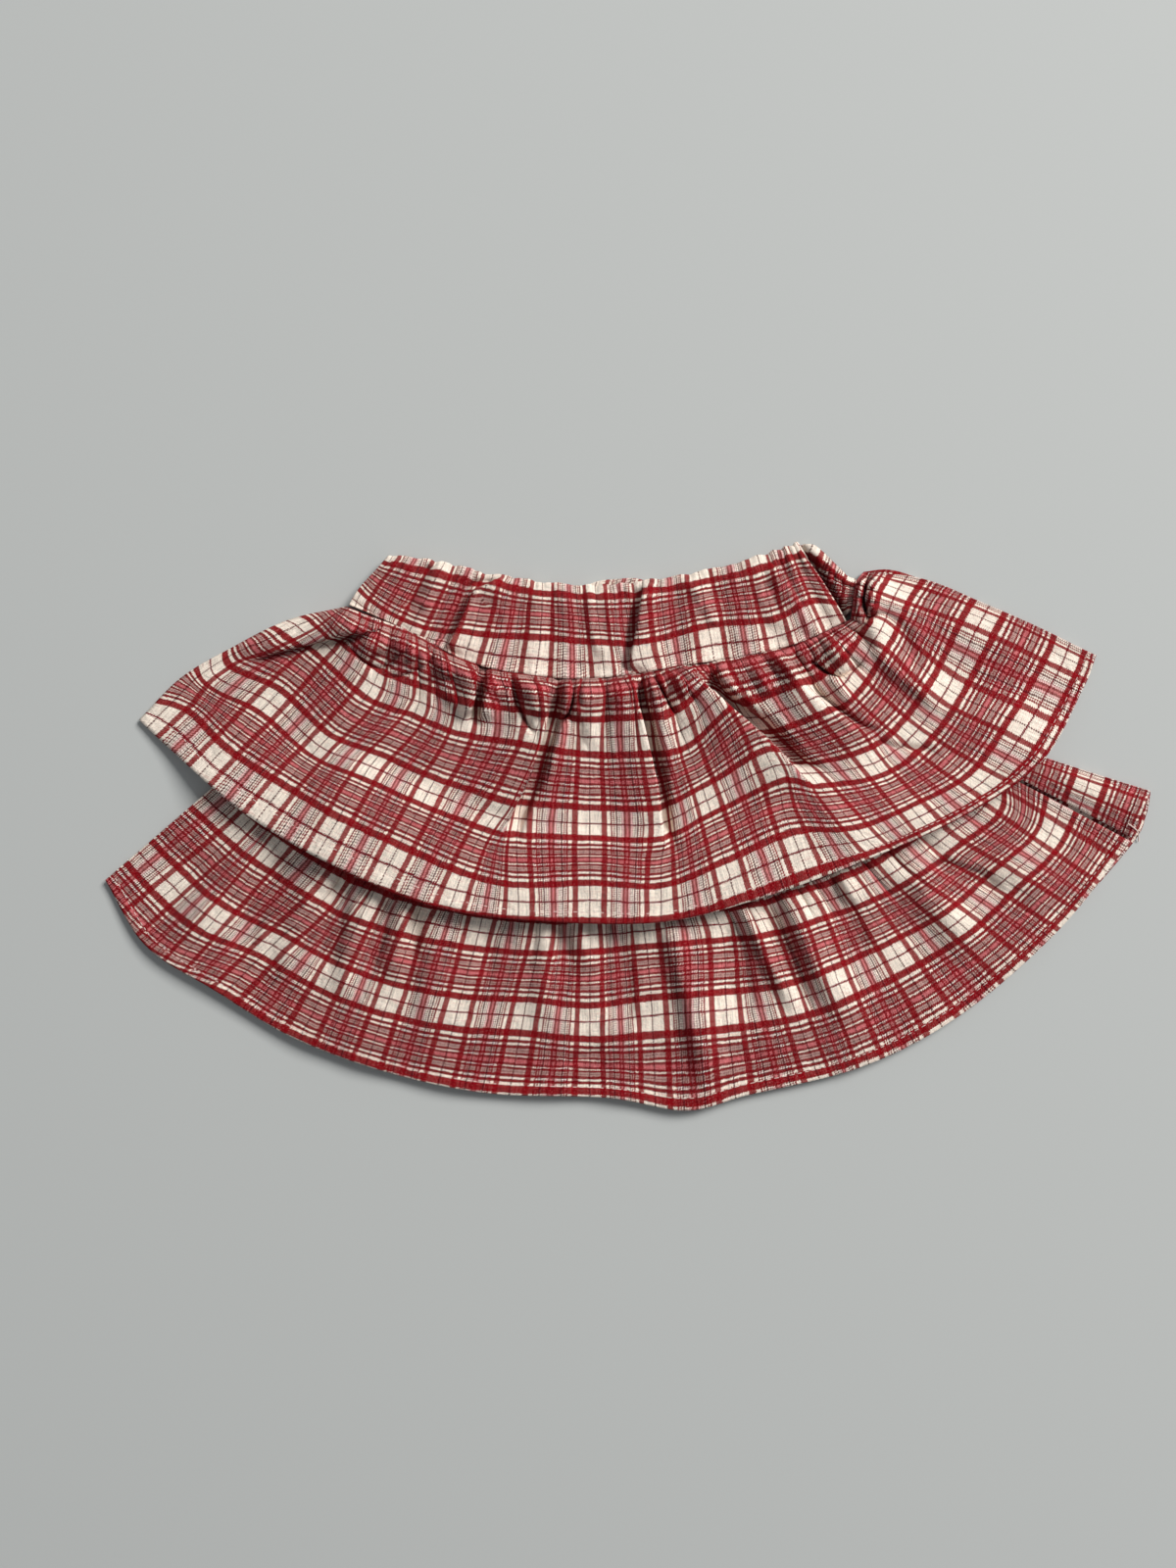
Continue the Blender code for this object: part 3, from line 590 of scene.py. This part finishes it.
UPPER_FOLDS = (
    Fold("side roll", 2.9, 7, 2.4, lean=2.2, trough=2.2,
         path=((-116, 89.5), (-129, 87.5), (-141, 84.5), (-158, 80), (-176, 75.5))),
    Fold("top of the side", 2.0, 4, 5, ((-127, 96), (-150, 91), (-167, 85.5), (-183, 79))),
    Fold("first lobe", 2.6, 7, 7, ((-118, 88), (-114.5, 83), (-111, 77))),
    Fold("first lobe's edge", -1.7, 1.0, 1.1,
         ((-123, 80), (-116.5, 73.5), (-109, 72), (-103, 77), (-95.5, 80.5))),
    Fold("second lobe", 2.4, 6, 6, ((-100.5, 85), (-97, 79.5), (-94.5, 75))),
    Fold("second lobe's edge", -1.7, 1.0, 1.1,
         ((-87.5, 79.5), (-88, 76), (-92, 72.5), (-101, 68.5), (-109.5, 67.5))),
    Fold("small curl", 2, 3, 3, ((-83.5, 75), (-81, 71), (-80.5, 66.5))),
    Fold("left valley", -1.6, 3.5, 4, ((-80, 72.5), (-88, 65), (-97.5, 54.5), (-102.5, 49.5), (-110, 44))),
    Fold("puff", 4.6, 9, 1.5, lean=2.8, trough=5.5,
         path=((-67.5, 73.5), (-68.5, 67), (-70, 55), (-75, 47))),
    Fold("small pleat", 3.8, 1.4, 4, lean=-1.6, trough=3.4,
         path=((-62, 71.5), (-63.5, 61.5), (-66, 46))),
    Fold("notch", -3.6, 0.9, 1.0, ((-57.5, 71), (-57, 66), (-56, 61))),
    Fold("left of the inset", -3.6, 1.2, 1.1, ((-52.5, 68), (-51.5, 58.5), (-48.5, 48.5), (-44, 42))),
    Fold("inset", 3.0, 3.6, 3.6, ((-45, 69), (-44.5, 57), (-43, 49))),
    Fold("right of the inset", -3.6, 1.1, 1.1, ((-38, 66), (-39.5, 56), (-42, 46))),
    Fold("long left fold", 3.8, 13, 1.4, lean=4.4, trough=6.6,
         path=((-34.5, 68), (-35.5, 56.5), (-37, 47), (-40.5, 35.5), (-45, 22.5), (-51.5, 9), (-57, -3),
                (-60.5, -12))),
    Fold("behind the long fold", 3.0, 2.2, 4,
         ((-28, 67.5), (-28.5, 55), (-30.5, 43), (-34.5, 29), (-40, 16))),
    Fold("its right edge", -3.6, 1.2, 1.2, ((-23.5, 68), (-24.5, 57), (-27, 51), (-31, 45.5), (-33, 41))),
    Fold("first pinch", 3.0, 2.4, 2.6, ((-17.5, 68), (-20, 58.5), (-24, 47))),
    Fold("second pinch", 1.8, 2.8, 3.2, ((-13.5, 68), (-16, 57), (-18, 45), (-15, 35))),
    Fold("long right fold", 3.2, 12, 1.3, lean=2.8, trough=6.2,
         path=((2, 68), (3.5, 58.5), (6.5, 47), (8.5, 38.5), (11, 27.5), (13.5, 15.5), (15, 0),
                (16.5, -12), (19, -20))),
    Fold("ridge beside it", 2.4, 2.8, 3.4, ((10, 68), (13.5, 52.5), (17.5, 37), (22, 20))),
    Fold("crease beside it", -3.6, 1.2, 1.2, ((11, 68), (15.5, 59.5), (21, 49.5))),
    Fold("little lobe", 2.4, 4, 4, ((21, 68), (24.5, 63), (28, 57))),
    Fold("diagonal fold", 4.4, 14, 1.8, lean=4.8, trough=6.6,
         path=((31.5, 66.5), (38.5, 61), (46, 54), (56.5, 45), (67.5, 34.5), (73.5, 27.5), (80, 21),
                (87, 13))),
    Fold("diagonal ridge", 2.2, 9, 8, ((77, 24), (90, 9), (100.5, -2), (107.5, -10))),
    Fold("pocket's far edge", 2.8, 2.2, 8, lean=-1.6,
         path=((41, 74.5), (44.5, 62), (51.5, 56.5), (64, 47.5))),
    Fold("short ridge", 2.2, 2.6, 2.6, ((55, 75.5), (59.5, 68), (65, 58.5))),
    Fold("next short ridge", 2.2, 3, 3, ((66.5, 76.5), (73, 71), (78.5, 66), (84.5, 58.5))),
    Fold("third short ridge", 2, 2.6, 3, ((91.5, 68.5), (95.5, 63), (100, 56))),
    Fold("far diagonal", 3.8, 12, 3.2, lean=2.4, trough=2.4,
         path=((69, 77), (77.5, 63.5), (90, 53), (103, 43.5), (113, 38.5), (121, 36))),
    Fold("where it ends", -2, 1.8, 2.4, ((111, 38.5), (117.5, 36), (130, 35), (139.5, 36))),
    Fold("lobe under the knot", 4.2, 7, 7, ((90.5, 81.5), (95.5, 78), (100, 76))),
    Fold("that lobe's edge", -3.4, 1.2, 1.4, ((83, 74.5), (91, 69), (97.5, 68.5), (108, 76.5))),
    Fold("knot", 3.6, 2.0, 2.2, ((104.2, 112), (103.5, 105), (103.6, 98), (105, 91))),
    Fold("groove in the knot", -5, 1.2, 1.2, ((108.2, 114), (106.5, 107), (106, 100), (108, 93.5))),
    Fold("beside the knot", 3.4, 1.8, 4, ((112, 113.5), (109.3, 107), (109, 100.5), (112, 94))),
    Fold("knot's crease", -2.6, 1.5, 1.5, ((101.5, 87.5), (108, 94), (114, 97))),
    Fold("right ridge", 3.2, 4, 7,
         ((110.5, 93.5), (113.5, 80.5), (120, 71), (131.5, 62.5), (136, 56), (139, 48.5))),
    Fold("upper right ridge", 2.4, 4, 8,
         ((113, 104.5), (121, 97.5), (127.5, 91.5), (132.5, 79), (135.5, 68))),
    Fold("outer swell", 2.2, 14, 14, ((136, 97), (158, 83.5), (184.5, 64))),
)


def upper_line(u):
    """How far below the seam the lowest thin weft line runs. The strip was cut a little off the grain."""
    return TIER_DEPTH - np.interp(u, (0, UPPER_WIDTH / 2, UPPER_WIDTH), (4.4, 8.8, 13.0))


def upper_threads():
    left, right = Edge(*UPPER_LEFT_SIDE), Edge(*UPPER_RIGHT_SIDE)
    shares = np.linspace(0, 1, 5)
    yield 0.0, shares * TIER_DEPTH, left.at(shares)
    for k, (seam, high, middle, low) in enumerate(UPPER_THREADS):
        u = 5 + CHECK_ACROSS * k
        line = upper_line(u)
        step = (np.array(low) - middle) / CHECK_DOWN
        yield (u, (0, line - 2 * CHECK_DOWN, line - CHECK_DOWN, line, TIER_DEPTH),
               (seam, high, middle, low, upper_hem.at(upper_hem.nearest(low + step * (TIER_DEPTH - line)))))
    yield UPPER_WIDTH, shares * TIER_DEPTH, right.at(shares)


upper_weave = Weave(UPPER_WIDTH, TIER_DEPTH, list(upper_threads()), upper_seam, upper_hem)


def gathered(weave, u, v, across, fading, drift):
    """Uneven gathers, that far across each on the flat cloth, round at the top and creased between: the
    shift that bunches the cloth up into them, and the share of their height at each point."""
    phase = waves(u / across, drift)
    slack = (1 / weave.spread(u, v) - 1) * fading
    shift = -slack.clip(0, 1.05) * across / (2 * pi) * np.sin(phase)
    return shift, (1.3 * abs(np.cos(phase / 2)) ** 0.55 - 0.3) * fading


def hem_turned(v, depth):
    """A hem turned twice is thicker, with a groove where it is stitched."""
    turned = smooth((v - (depth - HEM_TURN)) / 0.9)
    return 0.45 * turned - 0.35 * np.exp(-(((v - (depth - HEM_STITCHES)) / 0.55) ** 2))


def upper_front(across, down):
    u, v = across * UPPER_WIDTH, down * TIER_DEPTH
    from_side = np.minimum(u, UPPER_WIDTH - u) * (0.52 + 0.45 * down)
    room = smooth(from_side / 14)
    big_fade = room * smooth((v + 1) / 6) * (1 - smooth((v - 8) / 28))
    small_fade = room * (0.35 + 0.65 * smooth(v / 2.5)) * (1 - smooth((v - 5) / 14))
    big_shift, big = gathered(upper_weave, u, v, BIG_GATHER, big_fade, 0.1)
    small_shift, small = gathered(upper_weave, u, v, SMALL_GATHER, small_fade, 0.4)
    plan = upper_weave.at(u - 0.7 * big_shift - 0.5 * small_shift, v)
    folds, push = add_folds(plan, UPPER_FOLDS)
    held = smooth(from_side / 5) * (0.3 + 0.7 * smooth(v / 6))
    tight = 1.25 + 0.3 * (1 - smooth((v - 12) / 35))
    sway = 0.8 * smooth((v - 60) / 40) * (0.5 - 0.5 * np.cos(waves(u / SWAY, 0.6))) * room
    hem_lift = HEM_LIFT * smooth((v - 60) / 45) * smooth(from_side / 60)
    crowd = (0.75 + 0.25 * np.cos(u / 9.0)) * (0.6 + 0.4 * smooth((u - 90) / 60))
    lift = tight * held * folds + 2.2 * big + 3.2 * small * crowd
    lift = lift + sway + hem_lift + hem_turned(v, TIER_DEPTH)
    raised = RAISED * smooth(from_side / 90) * smooth((v + 1) / 9)
    lift = np.maximum(lift, -1.2 - raised) - 1.7 * (1 - smooth((v - 0.2) / 1.6)) * room
    height = upper_level(*plan.T, from_side) + raised + lift - 0.6 * (1 - smooth(from_side / 1.5))
    height = np.maximum(height, 1.0)
    return plan + held[:, None] * push, height, np.column_stack((u - 5, v - upper_line(u)))


def threads(name, paths, radius=0.18):
    """Lengths of sewing thread as one mesh, from an array of paths, each of as many points, in
    millimetres."""
    along = np.gradient(paths, axis=1)
    side = np.stack((-along[..., 1], along[..., 0], 0 * along[..., 0]), -1)
    side = radius * side / np.linalg.norm(side, axis=-1, keepdims=True)
    up = np.array((0, 0, radius))
    rings = np.stack((paths + side, paths + up, paths - side, paths - up), axis=2)
    count, long = paths.shape[:2]
    ring = (np.arange(count)[:, None] * long + np.arange(long - 1)).ravel()[:, None] * 4
    corner = np.arange(4)
    beside = (corner + 1) % 4
    faces = np.stack((ring + corner, ring + beside, ring + 4 + beside, ring + 4 + corner), -1)
    mesh = bpy.data.meshes.new(name)
    mesh.from_pydata(rings.reshape(-1, 3) / 1000, [], faces.reshape(-1, 4))
    mesh.shade_smooth()
    sewing = bpy.data.objects.new(name, mesh)
    bpy.context.scene.collection.objects.link(sewing)
    sewing.data.materials.append(cream_thread)
    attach(sewing, "root")
    return sewing


def stitches(lay, width, depth, line, start=0.003, end=0.997, pitch=3.1, length=2.3):
    """A row of stitches along a panel, each dipping into the cloth at both its ends, at that depth below
    the seam."""
    count = int((end - start) * width / pitch)
    middles = start + (np.arange(count) + 0.5) / count * (end - start)
    bow = np.array((-1, -0.6, 0, 0.6, 1))
    across = (middles[:, None] + bow * length / 2 / width).ravel()
    plan, height, _ = lay(across, np.full_like(across, line / depth))
    height = height + WALL + np.tile(0.12 - 0.4 * bow**4, count)
    return placed(plan, height).reshape(count, len(bow), 3)


cream_thread = matt("cream_thread", (0.78, 0.62, 0.56), 0.7)

upper_tier_front = cloth("upper_front_cloth", crowded(520, UPPER_WIDTH, (198, 14), (275, 9), (360, 14)),
                         crowded(88, TIER_DEPTH, (0, 16), (106, 3)), upper_front)
upper_tier_front.data.materials.append(checked)
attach(upper_tier_front, "root")
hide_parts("upper_tier_front")
threads("upper_hem_stitches", stitches(upper_front, UPPER_WIDTH, TIER_DEPTH, TIER_DEPTH - HEM_STITCHES))

# ------------------------------------------------------------ upper tier, back
# The same strip behind. It lies flat on the floor, a little inside the front's edge, and its gathers are
# pressed flat under the rest of the skirt.
MIDDLE_Y, HEM_INSET = 30.0, 1.5


def inset(stations):
    """The stations of a back panel's edge, a little nearer the skirt's middle than the front's."""
    for x, y in stations:
        away = np.hypot(x, y - MIDDLE_Y)
        yield x - HEM_INSET * x / away, y - HEM_INSET * (y - MIDDLE_Y) / away


def upper_back(across, down):
    plan = between(upper_seam, Edge(*inset(UPPER_HEM)), Edge(*inset(UPPER_LEFT_SIDE)),
                   Edge(*inset(UPPER_RIGHT_SIDE)), across, down)
    gathers = 0.35 * (0.5 - 0.5 * np.cos(waves(across * 34, 0.3))) * (1 - smooth(down / 0.5))
    return plan, gathers, np.column_stack((across * UPPER_WIDTH + 9, down * TIER_DEPTH - 100))


upper_tier_back = cloth("upper_back_cloth", 260, 48, upper_back)
upper_tier_back.data.materials.append(checked)
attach(upper_tier_back, "root")
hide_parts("upper_tier_back")

# ------------------------------------------------------------------------ yoke
# The plain base of the skirt, front and back, in the same check. The upper tier hides it. It carries the
# lower tier and is sewn into the waist seam.
YOKE_MARGIN = 0.06


class Part:
    """A stretch of an edge, followed from 0 to 1."""

    def __init__(self, edge, start, end):
        self.edge, self.start, self.end = edge, start, end

    def at(self, share):
        return self.edge.at(self.start + (self.end - self.start) * np.asarray(share))


waist = Part(Edge(*WAIST_SEAM[:-1], (99, 93), move=(0, -0.45)), YOKE_MARGIN, 1 - YOKE_MARGIN)
yoke_hem = Part(Edge(*LOWER_SEAM, move=(0, 0.45)), 0.02, 0.98)


def yoke(level):
    def lay(across, down):
        plan = between(waist, yoke_hem, Edge(waist.at(0), yoke_hem.at(0)), Edge(waist.at(1), yoke_hem.at(1)),
                       across, down)
        return plan, level(*plan.T), np.column_stack((across * 270, down * 75))
    return lay


for side, level in (("front", front_level), ("back", lambda x, y: np.full_like(x, PLY))):
    panel = cloth(f"yoke_{side}_cloth", 64, 24, yoke(level))
    panel.data.materials.append(checked)
    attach(panel, "root")
    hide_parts(f"yoke_{side}")

# ---------------------------------------------------------------------- shorts
# The under-shorts that make the skirt a skort, in plain cream cotton. They hang from the waist seam inside
# the tiers, which hide them.
SHORTS_HEM = ((-112, -68), (-70, -76), (-34, -78), (-12, -44), (10, -78), (48, -76), (90, -66))
plain = brushed_twill("plain_cream_cotton", lambda across: (0.76, 0.69, 0.60, 1),
                      lambda down: (0.70, 0.63, 0.54, 1), twill=0.9, depth=0.06)


def shorts(plies):
    top = Part(waist.edge, YOKE_MARGIN + 0.03, 1 - YOKE_MARGIN - 0.03)
    hem = Edge(*SHORTS_HEM)

    def lay(across, down):
        plan = between(top, hem, Edge(top.at(0), (-116, 10), hem.at(0)), Edge(top.at(1), (93, 10), hem.at(1)),
                       across, down)
        return plan, back_level(*plan.T, plies) + plies * PLY, np.column_stack((across * 230, down * 150))
    return lay


for side, plies in (("front", 2), ("back", 1)):
    panel = cloth(f"shorts_{side}_cloth", 72, 48, shorts(plies))
    panel.data.materials.append(plain)
    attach(panel, "root")
    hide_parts(f"shorts_{side}")

# ----------------------------------------------------------- lower tier, front
# The longer strip, gathered on to the yoke under the upper tier and spread wide at its hem. It lies in
# shallow waves that fade towards the hem, with two strong ridges near its middle.
LOWER_WIDTH = 542.0
LOWER_GATHER, RIPPLE = 19.0, 44.0  # how far across each is on the flat cloth
LOWER_HEM = ((-234.3, -23.3), (-216, -53), (-185, -73), (-150, -94), (-106, -110), (-62, -119), (-9, -121),
             (26, -126.7), (53, -120), (105, -107), (149, -84), (193, -46), (226, -5))
LOWER_THREADS = (
    # where each thin warp line crosses the two thin weft lines that show, in the plan
    ((-173.5, -0.5), (-203.5, -26.5)),
    ((-160, -10.5), (-185.5, -41)),
    ((-133, -27.5), (-159, -52.5)),
    ((-116.5, -35), (-133, -67)),
    ((-94.5, -41.5), (-107, -76.5)),
    ((-67, -46.5), (-76.5, -82.5)),
    ((-39, -49), (-46.5, -84)),
    ((-17, -48), (-17, -87)),
    ((7.5, -46), (11, -84)),
    ((41, -43), (44, -81.5)),
    ((60, -41), (73.5, -77.5)),
    ((81, -35), (94.5, -70)),
    ((102, -28), (121, -57.5)),
    ((120.5, -19), (148, -42)),
    ((140, -5.5), (169, -23)),
    ((162.5, 15.5), (189.5, -2.5)),
)
LOWER_FOLDS = (
    Fold("left crest", 2.2, 9, 9, ((-166.5, -2), (-184, -24), (-195.5, -44), (-202.5, -55))),
    Fold("left valley", -1.8, 6, 6, ((-153.5, -15.5), (-166.5, -35), (-173.5, -55), (-179.5, -70.5))),
    Fold("second crest", 2.2, 6, 8, ((-141, -26.5), (-147, -42), (-151.5, -57), (-155, -77))),
    Fold("second valley", -1.8, 5, 5, ((-127, -23.5), (-132, -46), (-138.5, -68))),
    Fold("third crest", 2.2, 5, 6, ((-117.5, -35), (-122.5, -50.5), (-127, -72.5), (-130, -86))),
    Fold("third valley", -2, 4, 4, ((-107, -28.5), (-113, -50.5), (-117.5, -68))),
    Fold("fourth crest", 2, 4, 5, ((-99.5, -37.5), (-104, -57), (-107.5, -72.5))),
    Fold("fourth valley", -2, 4, 4, ((-92.5, -34), (-96.5, -50.5), (-99.5, -61.5))),
    Fold("fifth crest", 2, 7, 9, ((-84, -44), (-88, -68), (-90, -94.5))),
    Fold("small valley", -1.2, 5, 5, ((-62, -46), (-64.5, -68))),
    Fold("sixth crest", 1.8, 6, 5, ((-37, -46), (-37, -68), (-39, -94.5))),
    Fold("sixth valley", -1.8, 4, 5, ((-29.5, -44), (-29, -61.5))),
    Fold("seventh crest", 1.6, 5, 5, ((-18.5, -46), (-18, -68))),
    Fold("middle valley", -2, 8, 6, ((-4.5, -46), (-3.5, -68), (0, -94.5))),
    Fold("middle ridge", 3.5, 5, 9, ((19, -44), (23.5, -61.5), (29.5, -83.5), (34, -108), (36, -127.5))),
    Fold("right valley", -2, 6, 6, ((47.5, -44), (49, -64), (55, -90))),
    Fold("narrow ridge", 2.6, 3, 4, ((50, -33.5), (57, -46), (63, -58.5), (71, -74.5), (77, -86))),
    Fold("pocket", -2.5, 4, 5, ((61.5, -35), (70, -53), (77, -68), (81.5, -86))),
    Fold("right ridge", 3, 6, 9, ((73, -33.5), (79, -48.5), (85, -61.5), (94.5, -77), (102, -94.5))),
    Fold("far valley", -1.8, 5, 6, ((88.5, -24), (100, -46), (108, -64))),
    Fold("short ridge", 1.8, 2.5, 3, ((94.5, -21), (98.5, -27.5), (102.5, -35))),
    Fold("outer ridge", 3, 9, 8, ((125.5, -16), (134, -27), (143.5, -38.5), (152, -50.5), (158, -61.5))),
    Fold("outer valley", -2.2, 3, 4, ((139.5, -17), (151.5, -21), (161, -25), (168.5, -33))),
    Fold("last swell", 2, 9, 9, ((171.5, -15.5), (184.5, -26.5), (193.5, -35))),
    Fold("hem crease", -0.9, 2, 2.5, ((-29, -106), (-18, -102), (-8, -97))),
)
lower_hem = Edge(*LOWER_HEM)


def lower_line(u):
    """How far below its seam the lower of the two thin weft lines runs."""
    return TIER_DEPTH - np.interp(u, (0, 24, 58, 92, 250, LOWER_WIDTH), (19.7, 24, 27.6, 32.8, 33.6, 35))


def lower_threads():
    seam = Edge(*LOWER_SEAM, move=(0, -0.45))
    left, right = Edge(*LOWER_LEFT_SIDE), Edge(*LOWER_CREASE, move=(-0.5, -0.9))
    shares = np.linspace(0, 1, 5)
    yield 0.0, shares * TIER_DEPTH, left.at(shares)
    for k, (high, low) in enumerate(LOWER_THREADS):
        u = 24.5 + CHECK_ACROSS * k
        line = lower_line(u)
        step = (np.array(low) - high) / CHECK_DOWN
        yield (u, (0, line - CHECK_DOWN, line, TIER_DEPTH),
               (seam.at(u / LOWER_WIDTH), high, low,
                lower_hem.at(lower_hem.nearest(low + step * (TIER_DEPTH - line)))))
    yield LOWER_WIDTH, shares * TIER_DEPTH, right.at(shares)


lower_weave = Weave(LOWER_WIDTH, TIER_DEPTH, list(lower_threads()), Edge(*LOWER_SEAM, move=(0, -0.45)),
                    lower_hem)


def lower_front(across, down):
    u, v = across * LOWER_WIDTH, down * TIER_DEPTH
    fading = smooth(np.minimum(u, LOWER_WIDTH - u) / 30) * (1 - smooth((v - 18) / 40))
    shift, gathers = gathered(lower_weave, u, v, LOWER_GATHER, fading, 0.15)
    plan = lower_weave.at(u - 0.6 * shift, v)
    room = ruffle_room(*plan.T)
    folds, push = add_folds(plan, LOWER_FOLDS, ending=0.4)
    shown = smooth((upper_hem.y_at(plan[:, 0]) + 8 - plan[:, 1]) / 16)
    ripple = 0.5 * (0.5 - 0.5 * np.cos(waves(u / RIPPLE, 0.35))) * smooth((v - 50) / 30)
    lift = room * (2.2 * gathers + ripple) + (0.3 + 0.7 * room) * shown * folds
    height = front_level(*plan.T) + 2.0 * room * smooth(v / 20) + np.maximum(1.6 * lift, -1.9 * room)
    return plan + push, height + hem_turned(v, TIER_DEPTH), np.column_stack((u - 24.5, v - lower_line(u)))


lower_tier_front = cloth("lower_front_cloth", 460, crowded(92, TIER_DEPTH, (106, 3)), lower_front)
lower_tier_front.data.materials.append(checked)
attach(lower_tier_front, "root")
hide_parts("lower_tier_front")
threads("lower_hem_stitches", stitches(lower_front, LOWER_WIDTH, TIER_DEPTH, TIER_DEPTH - HEM_STITCHES))

# ------------------------------------------------------------ lower tier, back
# The strip behind it, flat on the floor. At the right it is wider than the front, turns over and lies back on
# itself as a flap that ends in its hem.
FLAP_WIDTH, TURN = 34.0, 1.4
FLAP_START, FLAP_SCALE = 0.895, 280.0  # the share across where the flap starts, and its millimetres a share


def lower_back(across, down):
    edge = Edge(*FLAP_EDGE, move=(0, -TURN))
    seam = Edge(*LOWER_SEAM, edge.at(0), move=(0, -0.45))
    hem = Edge(*inset(LOWER_HEM[:-1]), (225.5, -8), (232.5, 6), edge.at(1))
    crease = Edge(*LOWER_CREASE, move=(0.4, 0.6))
    bend, roll = 0.86, 0.22  # where the panel turns over, and the share of what is turned that the bend takes
    flat = np.minimum(across / bend, 1)
    turned = np.maximum(across - bend, 0) / (1 - bend)
    plan = between(seam, hem, Edge(*inset(LOWER_LEFT_SIDE)), edge, flat, down)
    angle = pi * np.minimum(turned / roll, 1)
    on_flap = np.maximum(turned - roll, 0) / (1 - roll)
    outward = np.array((0.29, 0.957))
    plan = plan + TURN * np.sin(angle)[:, None] * outward
    plan = plan + on_flap[:, None] * (crease.at(down) - edge.at(down))
    puff = 2.2 * np.sin(pi * on_flap ** 0.8) * smooth((plan[:, 0] - 170) / 40)
    height = back_level(*plan.T) + TURN * (1 - np.cos(angle)) + puff
    u = flat * LOWER_WIDTH + np.minimum(turned, roll) * 20 + on_flap * FLAP_WIDTH
    v = down * TIER_DEPTH
    return plan, height + hem_turned(v, TIER_DEPTH), np.column_stack((u - 22, v - 83))


lower_tier_back = cloth("lower_back_cloth", 330, 70, lower_back)
lower_tier_back.data.materials.append(checked)
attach(lower_tier_back, "root")
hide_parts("lower_tier_back")
threads("flap_stitches", stitches(lower_back, FLAP_SCALE, TIER_DEPTH, TIER_DEPTH - HEM_STITCHES,
                                  start=FLAP_START))
LOOSE_END = ((222.5, 2.2, 5.2), (224.6, 0.8, 5.0), (226.8, -0.8, 4.2), (228.2, -2.2, 2.6), (228.9, -4.2, 1.2),
             (229.2, -6.0, 0.6))
threads("loose_thread", np.array([LOOSE_END]), radius=0.3)
